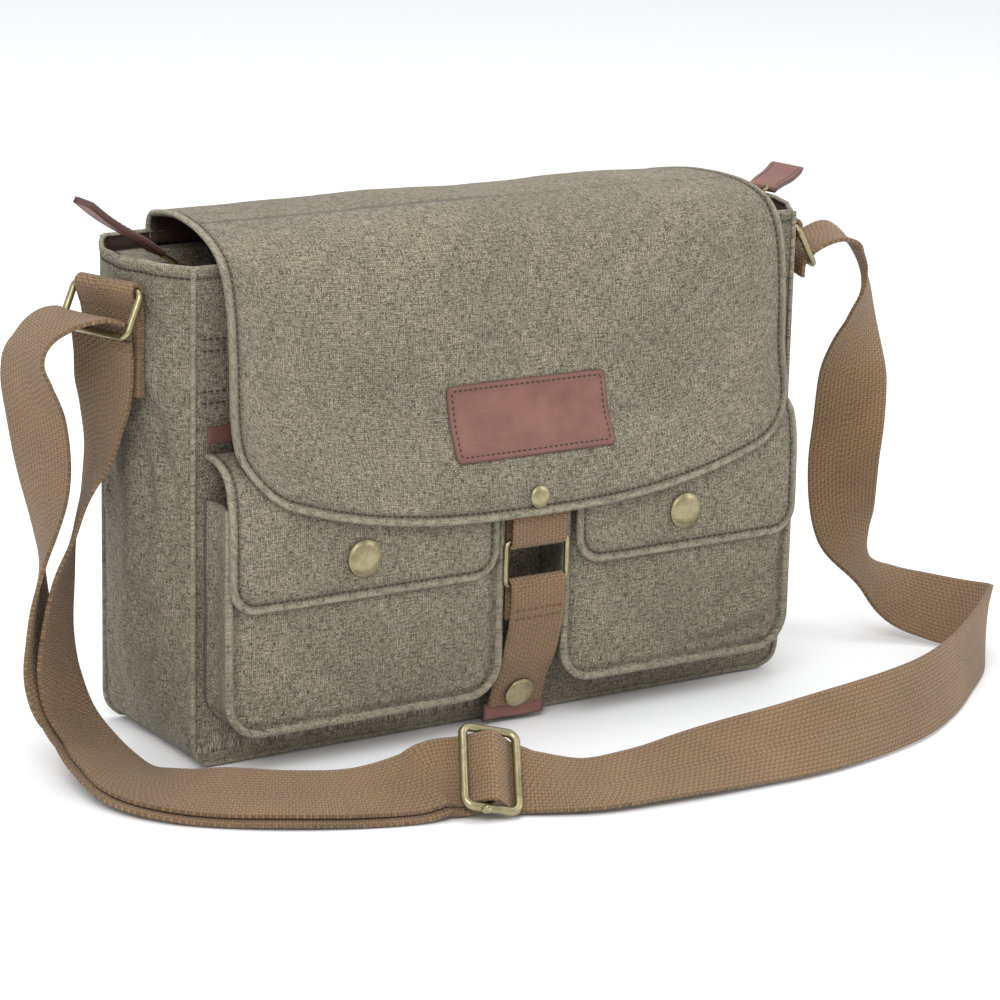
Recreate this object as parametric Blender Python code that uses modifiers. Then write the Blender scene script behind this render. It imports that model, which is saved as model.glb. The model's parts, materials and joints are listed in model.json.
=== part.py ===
"""Canvas messenger bag: body panels, gussets, lining, two snap pockets, a fold-over flap with a strap
closure, a zipped mouth, and a webbing shoulder strap with rings and an adjusting slider.

Metres, +Z up. The origin is the middle of the bottom panel's lower face, the front faces -Y.
"""
import math

import bmesh
import bpy
from mathutils import Matrix, Vector

# Body
BODY_WIDTH = 0.340
BODY_DEPTH = 0.092
BODY_HEIGHT = 0.242
CANVAS = 0.0022
FRONT_EDGE_RADIUS = 0.008
SIDE_EDGE_RADIUS = 0.014
GUSSET_BULGE = 0.018
LINING_CLOTH = 0.0008
GAP = 0.0003
FOLD_GAP = 0.0014
REAR_FOLD_GAP = 0.0025

# Flap
FLAP_WIDTH = 0.317
FLAP_SHIFT = -0.0015
FLAP_CLOTH = 0.0024
FLAP_TIP_Z = 0.1115
FLAP_SIDE_RISE = 0.029
FLAP_CORNER = 0.022
FLAP_FACET = 0.006
PATCH_CLEARANCE = 0.0006
PATCH_WIDTH = 0.090
PATCH_HEIGHT = 0.036
PATCH_LOW_Z = 0.140
PATCH_LEATHER = 0.0014
RIVET_RADIUS = 0.0055
RIVET_Z = 0.1203

# Pockets
FRONT_CENTRE_X = 0.003
LEFT_POCKET_OUTER = 0.167
RIGHT_POCKET_OUTER = 0.154
POCKET_DEPTH = 0.023
POCKET_LOW_Z = 0.022
POCKET_TOP_Z = 0.132
POCKET_CORNER = 0.009
POCKET_CLOTH = 0.0020
POCKET_FLAP_OVERHANG = 0.002
POCKET_FLAP_LOW_Z = 0.0815
POCKET_FLAP_CORNER = 0.012
SNAP_RADIUS = 0.009
SNAP_RISE = 0.0026
SNAP_X = 0.092
SNAP_SHIFT = -0.0065
SNAP_Z = 0.102

# Closure strap
CLOSURE_WEBBING = 0.0018
CLOSURE_WIDTH = 0.031
CLOSURE_WIRE = 0.0014
CLOSURE_RING_HIGH_Z = 0.098
CLOSURE_RING_HEIGHT = 0.022
CLOSURE_END_Z = 0.010
CLOSURE_SNAP_Z = 0.017
CLOSURE_CAP_RADIUS = 0.008
LOOP_RADIUS = 0.0028
CLOSURE_RING_CLEARANCE = 0.0007
# The pockets and their flaps stop short of the closure between them.
POCKET_INNER = CLOSURE_WIDTH / 2 + 0.0035
POCKET_FLAP_INNER = CLOSURE_WIDTH / 2 + CLOSURE_RING_CLEARANCE + 2 * CLOSURE_WIRE + 0.0030

# Zips
MOUTH_Z = BODY_HEIGHT - 0.010
FACING_HANG = math.radians(70)
FACING_HINGE_Y = BODY_DEPTH / 2 - 0.0052
FACING_EDGE_Y = 0.005
TAPE_WIDTH = 0.009
FACING_LENGTH = BODY_WIDTH - 0.070
FACING_CLOTH = 0.0012
LEFT_ZIP_PARK_X = BODY_WIDTH / 2 - 0.012
RIGHT_ZIP_PARK_X = BODY_WIDTH / 2
LEFT_PULL_RISE = math.radians(33)
RIGHT_PULL_RISE = math.radians(30)
RIGHT_PULL_YAW = math.radians(37)
RIGHT_PULL_ROLL = math.radians(9)
LEFT_LINK_LENGTH = 0.0095
RIGHT_LINK_LENGTH = 0.0160
PULL_LENGTH = 0.045
PULL_WIDTH = 0.018
PULL_LEATHER = 0.0030
PULL_LINK_HALF = 0.0035
PULL_LEVEL = math.radians(4)
FRONT_ZIP_Z = 0.164
FRONT_ZIP_LENGTH = BODY_WIDTH - 0.036

# Strap hardware
STRAP_WIDTH = 0.038
STRAP_WEBBING = 0.0020
RING_WIRE = 0.00175
RING_CLEARANCE = 0.0007
RING_STANDOFF = 0.006
RING_Y = -0.0073
RING_DROP = 0.014
RING_HEIGHT = 0.0219
RING_TILT = math.radians(27)
RING_TWIST = math.radians(18)
CHAPE_INSET = 0.0015
CHAPE_WEBBING = 0.0016
CHAPE_LENGTH = 0.050
SLIDER_CENTRE = Vector((-0.0740, -0.1552, 0.0186))
SLIDER_ACROSS = Vector((0.385, 0.700, 0.590))
SLIDER_ALONG = Vector((0.903, -0.361, -0.232))
SLIDER_LENGTH = 0.026
SLIDER_WIRE = 0.0020

# The shoulder strap's route: x, y, z of its middle, then its width direction, in millimetres.
# From the left ring down inside, over the floor, through the slider, and up to the right ring.
STRAP_ROUTE = [
    (-198.7, -9, 206, -.31, .95, 0), (-197.3, -8.2, 194.7, -.3, .95, 0), (-196.8, -6.5, 180, -.26, .965, 0),
    (-196.5, -3.5, 164.5, -.05, 1, 0), (-197.5, -.3, 145.8, .18, .98, 0), (-203, 1, 127.3, .38, .9, -.1),
    (-208, 2, 109, .45, .86, -.1), (-214, 1, 88, .6, .74, -.2), (-219, -2, 64, .7, .65, -.2),
    (-220, -5, 44, .8, .55, -.2), (-216, -10, 26, .84, .5, -.15), (-211, -24, 14, .84, .52, -.12),
    (-211, -46, 9.5, .84, .54, -.1), (-209, -68, 8.6, .76, .65, .05), (-200, -87, 9.1, .66, .74, .15),
    (-184, -103, 10, .55, .8, .25), (-160, -119, 9.9, .5, .84, .22), (-133, -132, 9.8, .45, .87, .25),
    (-109, -141.5, 13, .4, .8, .43), (-96.5, -143.8, 16.4, .39, .74, .54), (-85.9, -147.7, 17.2, .39, .71, .59),
    (-80, -152.7, 19.5, .39, .71, .59), (-74.2, -157.5, 21.4, .39, .71, .59),
    (-68, -157, 16.8, .39, .71, .59), (-61.8, -156.6, 12.4, .39, .71, .59), (-52, -161.5, 10.6, .42, .8, .45),
    (-28, -171, 8.5, .45, .84, .28), (0, -175, 9.5, .4, .85, .32), (26, -178, 12, .38, .79, .46),
    (52, -180, 13.8, .35, .72, .58), (80, -182, 15.6, .3, .64, .7), (108, -182, 17.6, .24, .5, .82),
    (140, -178, 19, .18, .36, .9), (172, -168, 19.6, .15, .3, .93), (205, -149, 19.8, .14, .26, .94),
    (238, -124, 19.9, .22, .28, .92), (264, -102, 20, .32, .36, .86), (280, -83, 19.6, .42, .45, .79),
    (283, -66, 17.5, .45, .48, .75), (278, -50, 17.5, .46, .52, .72), (269, -36, 20, .5, .56, .65),
    (260, -24, 26, .6, .66, .42), (251, -15, 35, .8, .6, 0), (245, -10, 50, .96, .2, -.15),
    (240, -10, 70, .97, -.2, 0), (239, -10, 94, .88, -.46, .1), (242, -9, 116, .86, -.5, .1),
    (244, -8, 138, .94, -.32, .08), (246, -7, 155, .99, .1, 0), (248, -7, 172, .85, .5, -.15),
    (248, -8, 190, .66, .73, -.1), (242, -8.5, 206, .5, .85, -.05), (231, -10, 217, .4, .9, .03),
    (218, -11, 219, .33, .94, 0), (206, -10.8, 215.6, .31, .95, 0), (199.4, -9.4, 209.5, .31, .95, 0),
    (198.7, -9, 202, .31, .95, 0)]
# The strap's sewn end run: over the left ring's lower bar and down outside, then under the stations of the
# upper layer that LAYERED_FROM and LAYERED_TO name, and to the slider's bar.
RETURN_DROP = [
    (-198.7, -9.1, 206.8, -.31, .95, 0), (-199.3, -9.4, 211.5, -.31, .95, 0), (-203.5, -10.4, 215, -.31, .95, 0),
    (-212, -11, 217, -.27, .96, 0), (-222, -10, 215.5, -.15, .98, -.03), (-231, -9, 210, 0, .98, -.05),
    (-236, -8, 201, 0, .99, -.1), (-235, -6, 188.5, -.14, .97, -.15), (-229.5, -3, 169.7, -.27, .93, -.2),
    (-226, -1, 151, -.26, .93, -.2), (-224, 1, 132.4, -.12, .97, -.2), (-224, 2, 114, .15, .96, -.2),
    (-225, 2, 98, .38, .9, -.2), (-226, 2, 80, .55, .78, -.2), (-226.5, -1, 60, .7, .65, -.2),
    (-226.5, -6, 41, .82, .54, -.18)]
RETURN_END = [(-79.3, -150.9, 15.6, .39, .71, .59), (-74.3, -153.2, 15.8, .39, .71, .59)]
LAYERED_FROM, LAYERED_TO = 10, 20
LAYER_DROP = 3.2
LAYER_PEEK = 3.0
ROUTE_STEPS = 2

FRONT_Y = -BODY_DEPTH / 2
BACK_Y = BODY_DEPTH / 2
POCKET_FRONT_Y = FRONT_Y - POCKET_DEPTH

MATERIALS = {
    "canvas": ((0.20, 0.17, 0.11), 0.9, 0.0),
    "lining": ((0.05, 0.03, 0.02), 0.9, 0.0),
    "webbing": ((0.26, 0.14, 0.06), 0.85, 0.0),
    "leather": ((0.23, 0.09, 0.07), 0.6, 0.0),
    "brass": ((0.35, 0.29, 0.15), 0.35, 1.0),
    "zip_tape": ((0.10, 0.07, 0.04), 0.8, 0.0),
    "tag": ((0.02, 0.02, 0.02), 0.8, 0.0),
}


def new_collection(name):
    collection = bpy.data.collections.new(name)
    bpy.context.scene.collection.children.link(collection)
    return collection


def make_material(object_name, kind):
    color, roughness, metallic = MATERIALS[kind]
    material = bpy.data.materials.new(object_name + "_" + kind)
    material.use_nodes = True
    shader = material.node_tree.nodes["Principled BSDF"]
    shader.inputs["Base Color"].default_value = (*color, 1.0)
    shader.inputs["Roughness"].default_value = roughness
    shader.inputs["Metallic"].default_value = metallic
    return material


def add_object(name, data, kind, place=Matrix()):
    piece = bpy.data.objects.new(name, data)
    data.materials.append(make_material(name, kind))
    BAG.objects.link(piece)
    piece.matrix_world = place
    return piece


def add_solidify(piece, thickness, offset=0.0):
    shell = piece.modifiers.new("cloth", "SOLIDIFY")
    shell.thickness = thickness
    shell.offset = offset
    shell.use_even_offset = True


def cloth(name, rows, thickness, kind, place=Matrix()):
    """A sheet through rows of points, given an even thickness about its middle."""
    mesh = bpy.data.meshes.new(name)
    shape = bmesh.new()
    grid = [[shape.verts.new(point) for point in row] for row in rows]
    for lower, upper in zip(grid, grid[1:]):
        for a, b, c, d in zip(lower, lower[1:], upper[1:], upper):
            shape.faces.new((a, b, c, d))
    shape.to_mesh(mesh)
    shape.free()
    piece = add_object(name, mesh, kind, place)
    add_solidify(piece, thickness)
    mesh.shade_smooth()
    return piece


def box(name, low, high, kind, bevel=0.0, place=Matrix()):
    low, high = Vector(low), Vector(high)
    size = high - low
    mesh = bpy.data.meshes.new(name)
    shape = bmesh.new()
    middle = Matrix.Translation((low + high) / 2)
    bmesh.ops.create_cube(shape, size=1.0, matrix=middle @ Matrix.Diagonal((*size, 1.0)))
    shape.to_mesh(mesh)
    shape.free()
    piece = add_object(name, mesh, kind, place)
    if bevel:
        rounding = piece.modifiers.new("edges", "BEVEL")
        rounding.width = bevel
        rounding.segments = 2
    return piece


def open_box(name, low, high, open_normals, radius, thickness, kind):
    """A box with some faces left out, its edges rounded, and its walls thickened inward."""
    low, high = Vector(low), Vector(high)
    mesh = bpy.data.meshes.new(name)
    shape = bmesh.new()
    size = high - low
    middle = Matrix.Translation((low + high) / 2)
    bmesh.ops.create_cube(shape, size=1.0, matrix=middle @ Matrix.Diagonal((*size, 1.0)))
    shape.normal_update()
    removed = [face for face in shape.faces
               if any(face.normal.dot(Vector(normal)) > 0.9 for normal in open_normals)]
    bmesh.ops.delete(shape, geom=removed, context="FACES")
    edges = [edge for edge in shape.edges if len(edge.link_faces) == 2]
    bmesh.ops.bevel(shape, geom=edges, offset=radius, segments=3, profile=0.5, affect="EDGES")
    shape.to_mesh(mesh)
    shape.free()
    piece = add_object(name, mesh, kind)
    add_solidify(piece, thickness, offset=-1.0)
    return piece


def wire(name, points, radius, kind, closed=False, place=Matrix()):
    curve = bpy.data.curves.new(name, "CURVE")
    curve.dimensions = "3D"
    curve.bevel_depth = radius
    curve.bevel_resolution = 2
    curve.use_fill_caps = True
    spline = curve.splines.new("POLY")
    spline.points.add(len(points) - 1)
    for target, point in zip(spline.points, points):
        target.co = (*point, 1.0)
    spline.use_cyclic_u = closed
    return add_object(name, curve, kind, place)


def turned(name, profile, place, kind, steps=20):
    """A round piece from a profile of (radius, height) down its outer side, top to bottom."""
    mesh = bpy.data.meshes.new(name)
    points = [(radius, 0.0, height) for radius, height in profile]
    mesh.from_pydata(points, [(i, i + 1) for i in range(len(points) - 1)], [])
    piece = add_object(name, mesh, kind, place)
    spin = piece.modifiers.new("turn", "SCREW")
    spin.steps = steps
    spin.render_steps = steps
    spin.use_merge_vertices = True
    spin.merge_threshold = 0.00001
    return piece


def facing(point, normal):
    """A placement whose +Z looks along normal."""
    return Matrix.Translation(point) @ Vector(normal).to_track_quat("Z", "Y").to_matrix().to_4x4()


def snap_cap(name, point, normal, radius, rise, kind="brass"):
    profile = [(0, rise), (radius * 0.45, rise * 0.94), (radius * 0.8, rise * 0.7), (radius, rise * 0.25),
               (radius, 0), (0, 0)]
    return turned(name, profile, facing(point, normal), kind)


def post(name, point, normal, radius, height):
    profile = [(0, height), (radius, height), (radius, 0), (0, 0)]
    return turned(name, profile, facing(point, normal), "brass", steps=16)


def smooth_line(points, steps):
    """Points on a Catmull-Rom curve through the given tuples."""
    line = []
    last = len(points) - 1
    for i in range(last):
        p0, p1, p2, p3 = (Vector(points[max(0, min(last, k))]) for k in (i - 1, i, i + 1, i + 2))
        for step in range(steps):
            t = step / steps
            line.append(0.5 * ((2 * p1) + (p2 - p0) * t + (2 * p0 - 5 * p1 + 4 * p2 - p3) * t ** 2
                               + (3 * p1 - p0 - 3 * p2 + p3) * t ** 3))
    line.append(Vector(points[last]))
    return line


class Path:
    """A side-view line of (y, z) points that can be walked by distance."""

    def __init__(self, points, steps=6):
        self.points = smooth_line(points, steps)
        self.reach = [0.0]
        for a, b in zip(self.points, self.points[1:]):
            self.reach.append(self.reach[-1] + (b - a).length)
        self.length = self.reach[-1]

    def at(self, distance):
        distance = max(0.0, min(self.length, distance))
        i = max(k for k, reach in enumerate(self.reach[:-1]) if reach <= distance)
        share = (distance - self.reach[i]) / (self.reach[i + 1] - self.reach[i])
        return self.points[i].lerp(self.points[i + 1], share)

    def direction(self, distance):
        return (self.at(distance + 0.0005) - self.at(distance - 0.0005)).normalized()

    def outward(self, distance):
        """The side that faces away from the bag for a path that runs over the top and down the front."""
        ahead = self.direction(distance)
        return Vector((ahead[1], -ahead[0]))

    def lift(self, distance, offset):
        return self.at(distance) + self.outward(distance) * offset

    def distance_at_z(self, z):
        steps = 400
        tries = [self.length * k / steps for k in range(steps + 1)]
        return min(reversed(tries), key=lambda s: abs(self.at(s)[1] - z))


def over(path, start, end, x_low, x_high, corner=0.0, rise=0.0, x_middle=0.0, lift=0.0, rows=10, columns=16):
    """Rows of points for cloth that follows a path from start to end, with shaped lower corners."""
    grid = []
    half = (x_high - x_low) / 2
    middle = (x_high + x_low) / 2
    for row in range(rows + 1):
        points = []
        for column in range(columns + 1):
            turn = math.pi * column / columns
            x = middle - half * math.cos(turn)
            lost = rise * (abs(x - x_middle) / half) ** 2.6
            past = abs(x - middle) - (half - corner)
            if past > 0:
                lost += corner - math.sqrt(max(corner ** 2 - past ** 2, 0.0))
            distance = start + (end - start - lost) * row / rows
            y, z = path.lift(distance, lift)
            points.append((x, y, z))
        grid.append(points)
    return grid


def ribbon(line, half_width, x_middle):
    """Rows for a straight webbing whose side view is a line of (y, z) points."""
    return [[(x_middle + side * half_width, y, z) for side in (-1, 1)] for y, z in line]


def arc(centre, radius, start, end, count):
    angles = [start + (end - start) * k / count for k in range(count + 1)]
    return [(centre[0] + radius * math.cos(a), centre[1] + radius * math.sin(a)) for a in angles]


def smooth_share(value):
    value = max(0.0, min(1.0, value))
    return value * value * (3 - 2 * value)


# Side views of the cloth that bends over edges.
RIM_Z = BODY_HEIGHT
FLAP_PATH = Path([
    (BACK_Y + 0.0017, RIM_Z - 0.008), (BACK_Y + 0.0017, RIM_Z + 0.001), (BACK_Y - 0.0012, RIM_Z + 0.0068),
    (BACK_Y - 0.008, RIM_Z + 0.0092), (0.010, RIM_Z + 0.0132), (-0.018, RIM_Z + 0.0128),
    (FRONT_Y + 0.010, RIM_Z + 0.0092), (FRONT_Y - 0.001, RIM_Z + 0.0035), (FRONT_Y - 0.0080, RIM_Z - 0.006),
    (FRONT_Y - 0.012, RIM_Z - 0.020), (FRONT_Y - 0.0145, RIM_Z - 0.042), (FRONT_Y - 0.016, RIM_Z - 0.067),
    (FRONT_Y - 0.020, POCKET_TOP_Z + 0.026), (POCKET_FRONT_Y - 0.0010, POCKET_TOP_Z + 0.017),
    (POCKET_FRONT_Y - 0.0047, POCKET_TOP_Z + 0.009), (POCKET_FRONT_Y - 0.0072, POCKET_TOP_Z - 0.002),
    (POCKET_FRONT_Y - 0.0085, POCKET_TOP_Z - 0.014), (POCKET_FRONT_Y - 0.0095, FLAP_TIP_Z)])
FLAP_HINGE = FLAP_PATH.reach[2 * 6]
FLAP_FOLD = FLAP_PATH.reach[7 * 6]
POCKET_FLAP_PATH = Path([
    (FRONT_Y - 0.0016, POCKET_TOP_Z + 0.0212), (FRONT_Y - 0.010, POCKET_TOP_Z + 0.0205),
    (POCKET_FRONT_Y + 0.005, POCKET_TOP_Z + 0.0172), (POCKET_FRONT_Y - 0.0005, POCKET_TOP_Z + 0.0110),
    (POCKET_FRONT_Y - 0.0033, POCKET_TOP_Z - 0.002), (POCKET_FRONT_Y - 0.0040, POCKET_TOP_Z - 0.017),
    (POCKET_FRONT_Y - 0.0043, POCKET_FLAP_LOW_Z)])
POCKET_FLAP_FOLD = POCKET_FLAP_PATH.reach[3 * 6]
CLOSURE_BAR_Y = POCKET_FRONT_Y - 0.0032
CLOSURE_LOW_BAR_Z = CLOSURE_RING_HIGH_Z - CLOSURE_RING_HEIGHT
CLOSURE_PATH = Path([
    (CLOSURE_BAR_Y - LOOP_RADIUS, CLOSURE_LOW_BAR_Z), (CLOSURE_BAR_Y - 0.0022, CLOSURE_LOW_BAR_Z - 0.016),
    (CLOSURE_BAR_Y + 0.0042, CLOSURE_LOW_BAR_Z - 0.038), (FRONT_Y - 0.0155, CLOSURE_SNAP_Z + 0.009),
    (FRONT_Y - 0.0120, CLOSURE_SNAP_Z), (FRONT_Y - 0.0100, CLOSURE_END_Z)])


def half_width(z):
    """The body's half width at a height: the lower side corners are rounded."""
    low = max(SIDE_EDGE_RADIUS - z, 0.0)
    return BODY_WIDTH / 2 - SIDE_EDGE_RADIUS + math.sqrt(SIDE_EDGE_RADIUS ** 2 - low ** 2)


def inner_depth(z):
    """Half the clear depth between the front and back panels at a height."""
    if z < CANVAS:
        return BODY_DEPTH / 2 - FRONT_EDGE_RADIUS
    low = max(FRONT_EDGE_RADIUS - z, 0.0)
    inner = FRONT_EDGE_RADIUS - CANVAS
    return BODY_DEPTH / 2 - FRONT_EDGE_RADIUS + math.sqrt(inner ** 2 - low ** 2)


def bulge(z):
    return GUSSET_BULGE * (0.35 + 0.65 * z / BODY_HEIGHT) * smooth_share(z / 0.050)


def wall_profile(half_size, radius, straight_rows):
    """(offset, height, outer height) up a wall's middle surface, from under the bottom edge to the rim."""
    profile = []
    turns = 4
    for k in range(turns + 1):
        angle = -math.pi / 2 * (1 - k / turns)
        reach = radius - CANVAS / 2
        profile.append((half_size - radius + reach * math.cos(angle), radius + reach * math.sin(angle),
                        radius + radius * math.sin(angle)))
    for k in range(1, straight_rows + 1):
        z = radius + (BODY_HEIGHT - radius) * k / straight_rows
        profile.append((half_size - CANVAS / 2, z, z))
    return profile


def make_body():
    for name, side in (("front_panel", -1), ("back_panel", 1)):
        rows = []
        for depth, z, outer_z in wall_profile(BODY_DEPTH / 2, FRONT_EDGE_RADIUS, 3):
            reach = half_width(outer_z)
            rows.append([(reach * u, side * depth, z) for u in (-1, -0.5, 0, 0.5, 1)])
        cloth(name, rows, CANVAS, "canvas")
    for name, side in (("left_gusset", -1), ("right_gusset", 1)):
        rows = []
        for reach, z, outer_z in wall_profile(BODY_WIDTH / 2, SIDE_EDGE_RADIUS, 7):
            depth = inner_depth(outer_z) - 0.0013
            row = []
            for k in range(9):
                y = depth * (k / 4 - 1)
                row.append((side * (reach + bulge(z) * (1 - (2 * y / BODY_DEPTH) ** 2)), y, z))
            rows.append(row)
        cloth(name, rows, CANVAS, "canvas")
    reach = BODY_WIDTH / 2 - SIDE_EDGE_RADIUS - GAP
    depth = BODY_DEPTH / 2 - FRONT_EDGE_RADIUS - GAP
    box("bottom_panel", (-reach, -depth, 0), (reach, depth, CANVAS), "canvas")
    reach = BODY_WIDTH / 2 - CANVAS - 0.0012
    depth = BODY_DEPTH / 2 - CANVAS - 0.0010
    open_box("lining", (-reach, -depth, CANVAS + 0.0008), (reach, depth, MOUTH_Z - 0.006), [(0, 0, 1)],
             0.012, LINING_CLOTH, "lining")


def make_pocket(name, side):
    outer = LEFT_POCKET_OUTER if side < 0 else RIGHT_POCKET_OUTER
    edges = sorted(FRONT_CENTRE_X + side * x for x in (POCKET_INNER, outer))
    open_box(name + "_pocket", (edges[0], POCKET_FRONT_Y, POCKET_LOW_Z), (edges[1], FRONT_Y - GAP, POCKET_TOP_Z),
             [(0, 1, 0), (0, 0, 1)], POCKET_CORNER, POCKET_CLOTH, "canvas")
    x = FRONT_CENTRE_X + side * SNAP_X + SNAP_SHIFT
    stud_rise = 0.0020
    post(name + "_pocket_stud", (x, POCKET_FRONT_Y - GAP, SNAP_Z), (0, -1, 0), SNAP_RADIUS * 0.6, stud_rise)
    edges = sorted(FRONT_CENTRE_X + side * x for x in (POCKET_FLAP_INNER, outer + POCKET_FLAP_OVERHANG))
    top = over(POCKET_FLAP_PATH, 0, POCKET_FLAP_FOLD - FOLD_GAP / 2, *edges, rows=5, columns=2)
    cloth(name + "_pocket_flap_top", top, POCKET_CLOTH, "canvas")
    front = over(POCKET_FLAP_PATH, POCKET_FLAP_FOLD + FOLD_GAP / 2, POCKET_FLAP_PATH.length, *edges,
                 corner=POCKET_FLAP_CORNER, rows=7, columns=12)
    cloth(name + "_pocket_flap", front, POCKET_CLOTH, "canvas")
    distance = POCKET_FLAP_PATH.distance_at_z(SNAP_Z)
    y, z = POCKET_FLAP_PATH.lift(distance, POCKET_CLOTH / 2 + GAP)
    snap_cap(name + "_snap_cap", (x, y, z), (0, -1, 0), SNAP_RADIUS, SNAP_RISE)


def make_flap():
    low, high = FLAP_SHIFT - FLAP_WIDTH / 2, FLAP_SHIFT + FLAP_WIDTH / 2
    strip = over(FLAP_PATH, 0, FLAP_HINGE - REAR_FOLD_GAP / 2, low, high, rows=6, columns=2)
    cloth("flap_rear_strip", strip, FLAP_CLOTH, "canvas")
    top = over(FLAP_PATH, FLAP_HINGE + REAR_FOLD_GAP / 2, FLAP_FOLD - FOLD_GAP / 2, low, high, rows=16, columns=4)
    cloth("flap_top", top, FLAP_CLOTH, "canvas")
    front = over(FLAP_PATH, FLAP_FOLD + FOLD_GAP / 2, FLAP_PATH.length, low, high, corner=FLAP_CORNER,
                 rise=FLAP_SIDE_RISE, x_middle=FLAP_SHIFT, columns=20,
                 rows=math.ceil((FLAP_PATH.length - FLAP_FOLD) / FLAP_FACET))
    cloth("flap_front", front, FLAP_CLOTH, "canvas")
    start = FLAP_PATH.distance_at_z(PATCH_LOW_Z + PATCH_HEIGHT)
    end = FLAP_PATH.distance_at_z(PATCH_LOW_Z)
    lift = FLAP_CLOTH / 2 + PATCH_CLEARANCE + PATCH_LEATHER / 2
    patch = over(FLAP_PATH, start, end, -PATCH_WIDTH / 2, PATCH_WIDTH / 2, lift=lift, rows=8, columns=2)
    cloth("leather_patch", patch, PATCH_LEATHER, "leather")
    distance = FLAP_PATH.distance_at_z(RIVET_Z)
    y, z = FLAP_PATH.lift(distance, FLAP_CLOTH / 2 + 2 * GAP)
    out = FLAP_PATH.outward(distance)
    snap_cap("flap_rivet", (0, y, z), (0, *out), RIVET_RADIUS, 0.0018)


def make_closure():
    half = CLOSURE_WIDTH / 2
    high, low = CLOSURE_RING_HIGH_Z, CLOSURE_LOW_BAR_Z
    front_y, rear_y = CLOSURE_BAR_Y - LOOP_RADIUS, CLOSURE_BAR_Y + LOOP_RADIUS
    loop = [(front_y, high + 0.019)]
    loop += arc((CLOSURE_BAR_Y, high), LOOP_RADIUS, math.pi, 2 * math.pi, 8)
    loop += [(rear_y, high + 0.016)]
    cloth("flap_webbing_loop", ribbon(loop, half, FRONT_CENTRE_X), CLOSURE_WEBBING, "webbing")

    reach = half + CLOSURE_WIRE + CLOSURE_RING_CLEARANCE
    corner = 0.003
    ring = []
    for x_side, z, z_side, start in ((1, high, 1, 0), (-1, high, 1, 90), (-1, low, -1, 180), (1, low, -1, 270)):
        centre = (FRONT_CENTRE_X + x_side * (reach - corner), z - z_side * corner)
        turn = arc(centre, corner, math.radians(start), math.radians(start + 90), 3)
        ring += [(x, CLOSURE_BAR_Y, height) for x, height in turn]
    wire("closure_ring", ring, CLOSURE_WIRE, "brass", closed=True)

    strap = [(rear_y, low - 0.018)]
    strap += arc((CLOSURE_BAR_Y, low), LOOP_RADIUS, 0, math.pi, 8)
    strap += [tuple(CLOSURE_PATH.at(CLOSURE_PATH.length * k / 12)) for k in range(1, 13)]
    cloth("closure_strap", ribbon(strap, half, FRONT_CENTRE_X), CLOSURE_WEBBING, "webbing")

    distance = CLOSURE_PATH.distance_at_z(CLOSURE_SNAP_Z)
    out = -CLOSURE_PATH.outward(distance)
    out = out if out[0] < 0 else -out
    middle = CLOSURE_PATH.at(distance)
    front = middle + out * (CLOSURE_WEBBING / 2 + 5 * GAP)
    snap_cap("closure_snap_cap", (FRONT_CENTRE_X, *front), (0, *out), CLOSURE_CAP_RADIUS, SNAP_RISE)
    stud_y, socket_y = FRONT_Y - 0.0070, FRONT_Y - 0.0073
    post("closure_stud", (FRONT_CENTRE_X, FRONT_Y - GAP, CLOSURE_SNAP_Z), (0, -1, 0), 0.0040,
         FRONT_Y - GAP - stud_y)
    post("closure_socket", (FRONT_CENTRE_X, socket_y, CLOSURE_SNAP_Z), (0, -1, 0), 0.0050, 0.0018)
    tab_y = FRONT_Y - 0.0083
    tab_half = half + 0.002
    box("closure_tab", (FRONT_CENTRE_X - tab_half, tab_y - 0.0008, 0.0025),
        (FRONT_CENTRE_X + tab_half, tab_y + 0.0008, CLOSURE_SNAP_Z - 0.0056), "leather")


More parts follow.
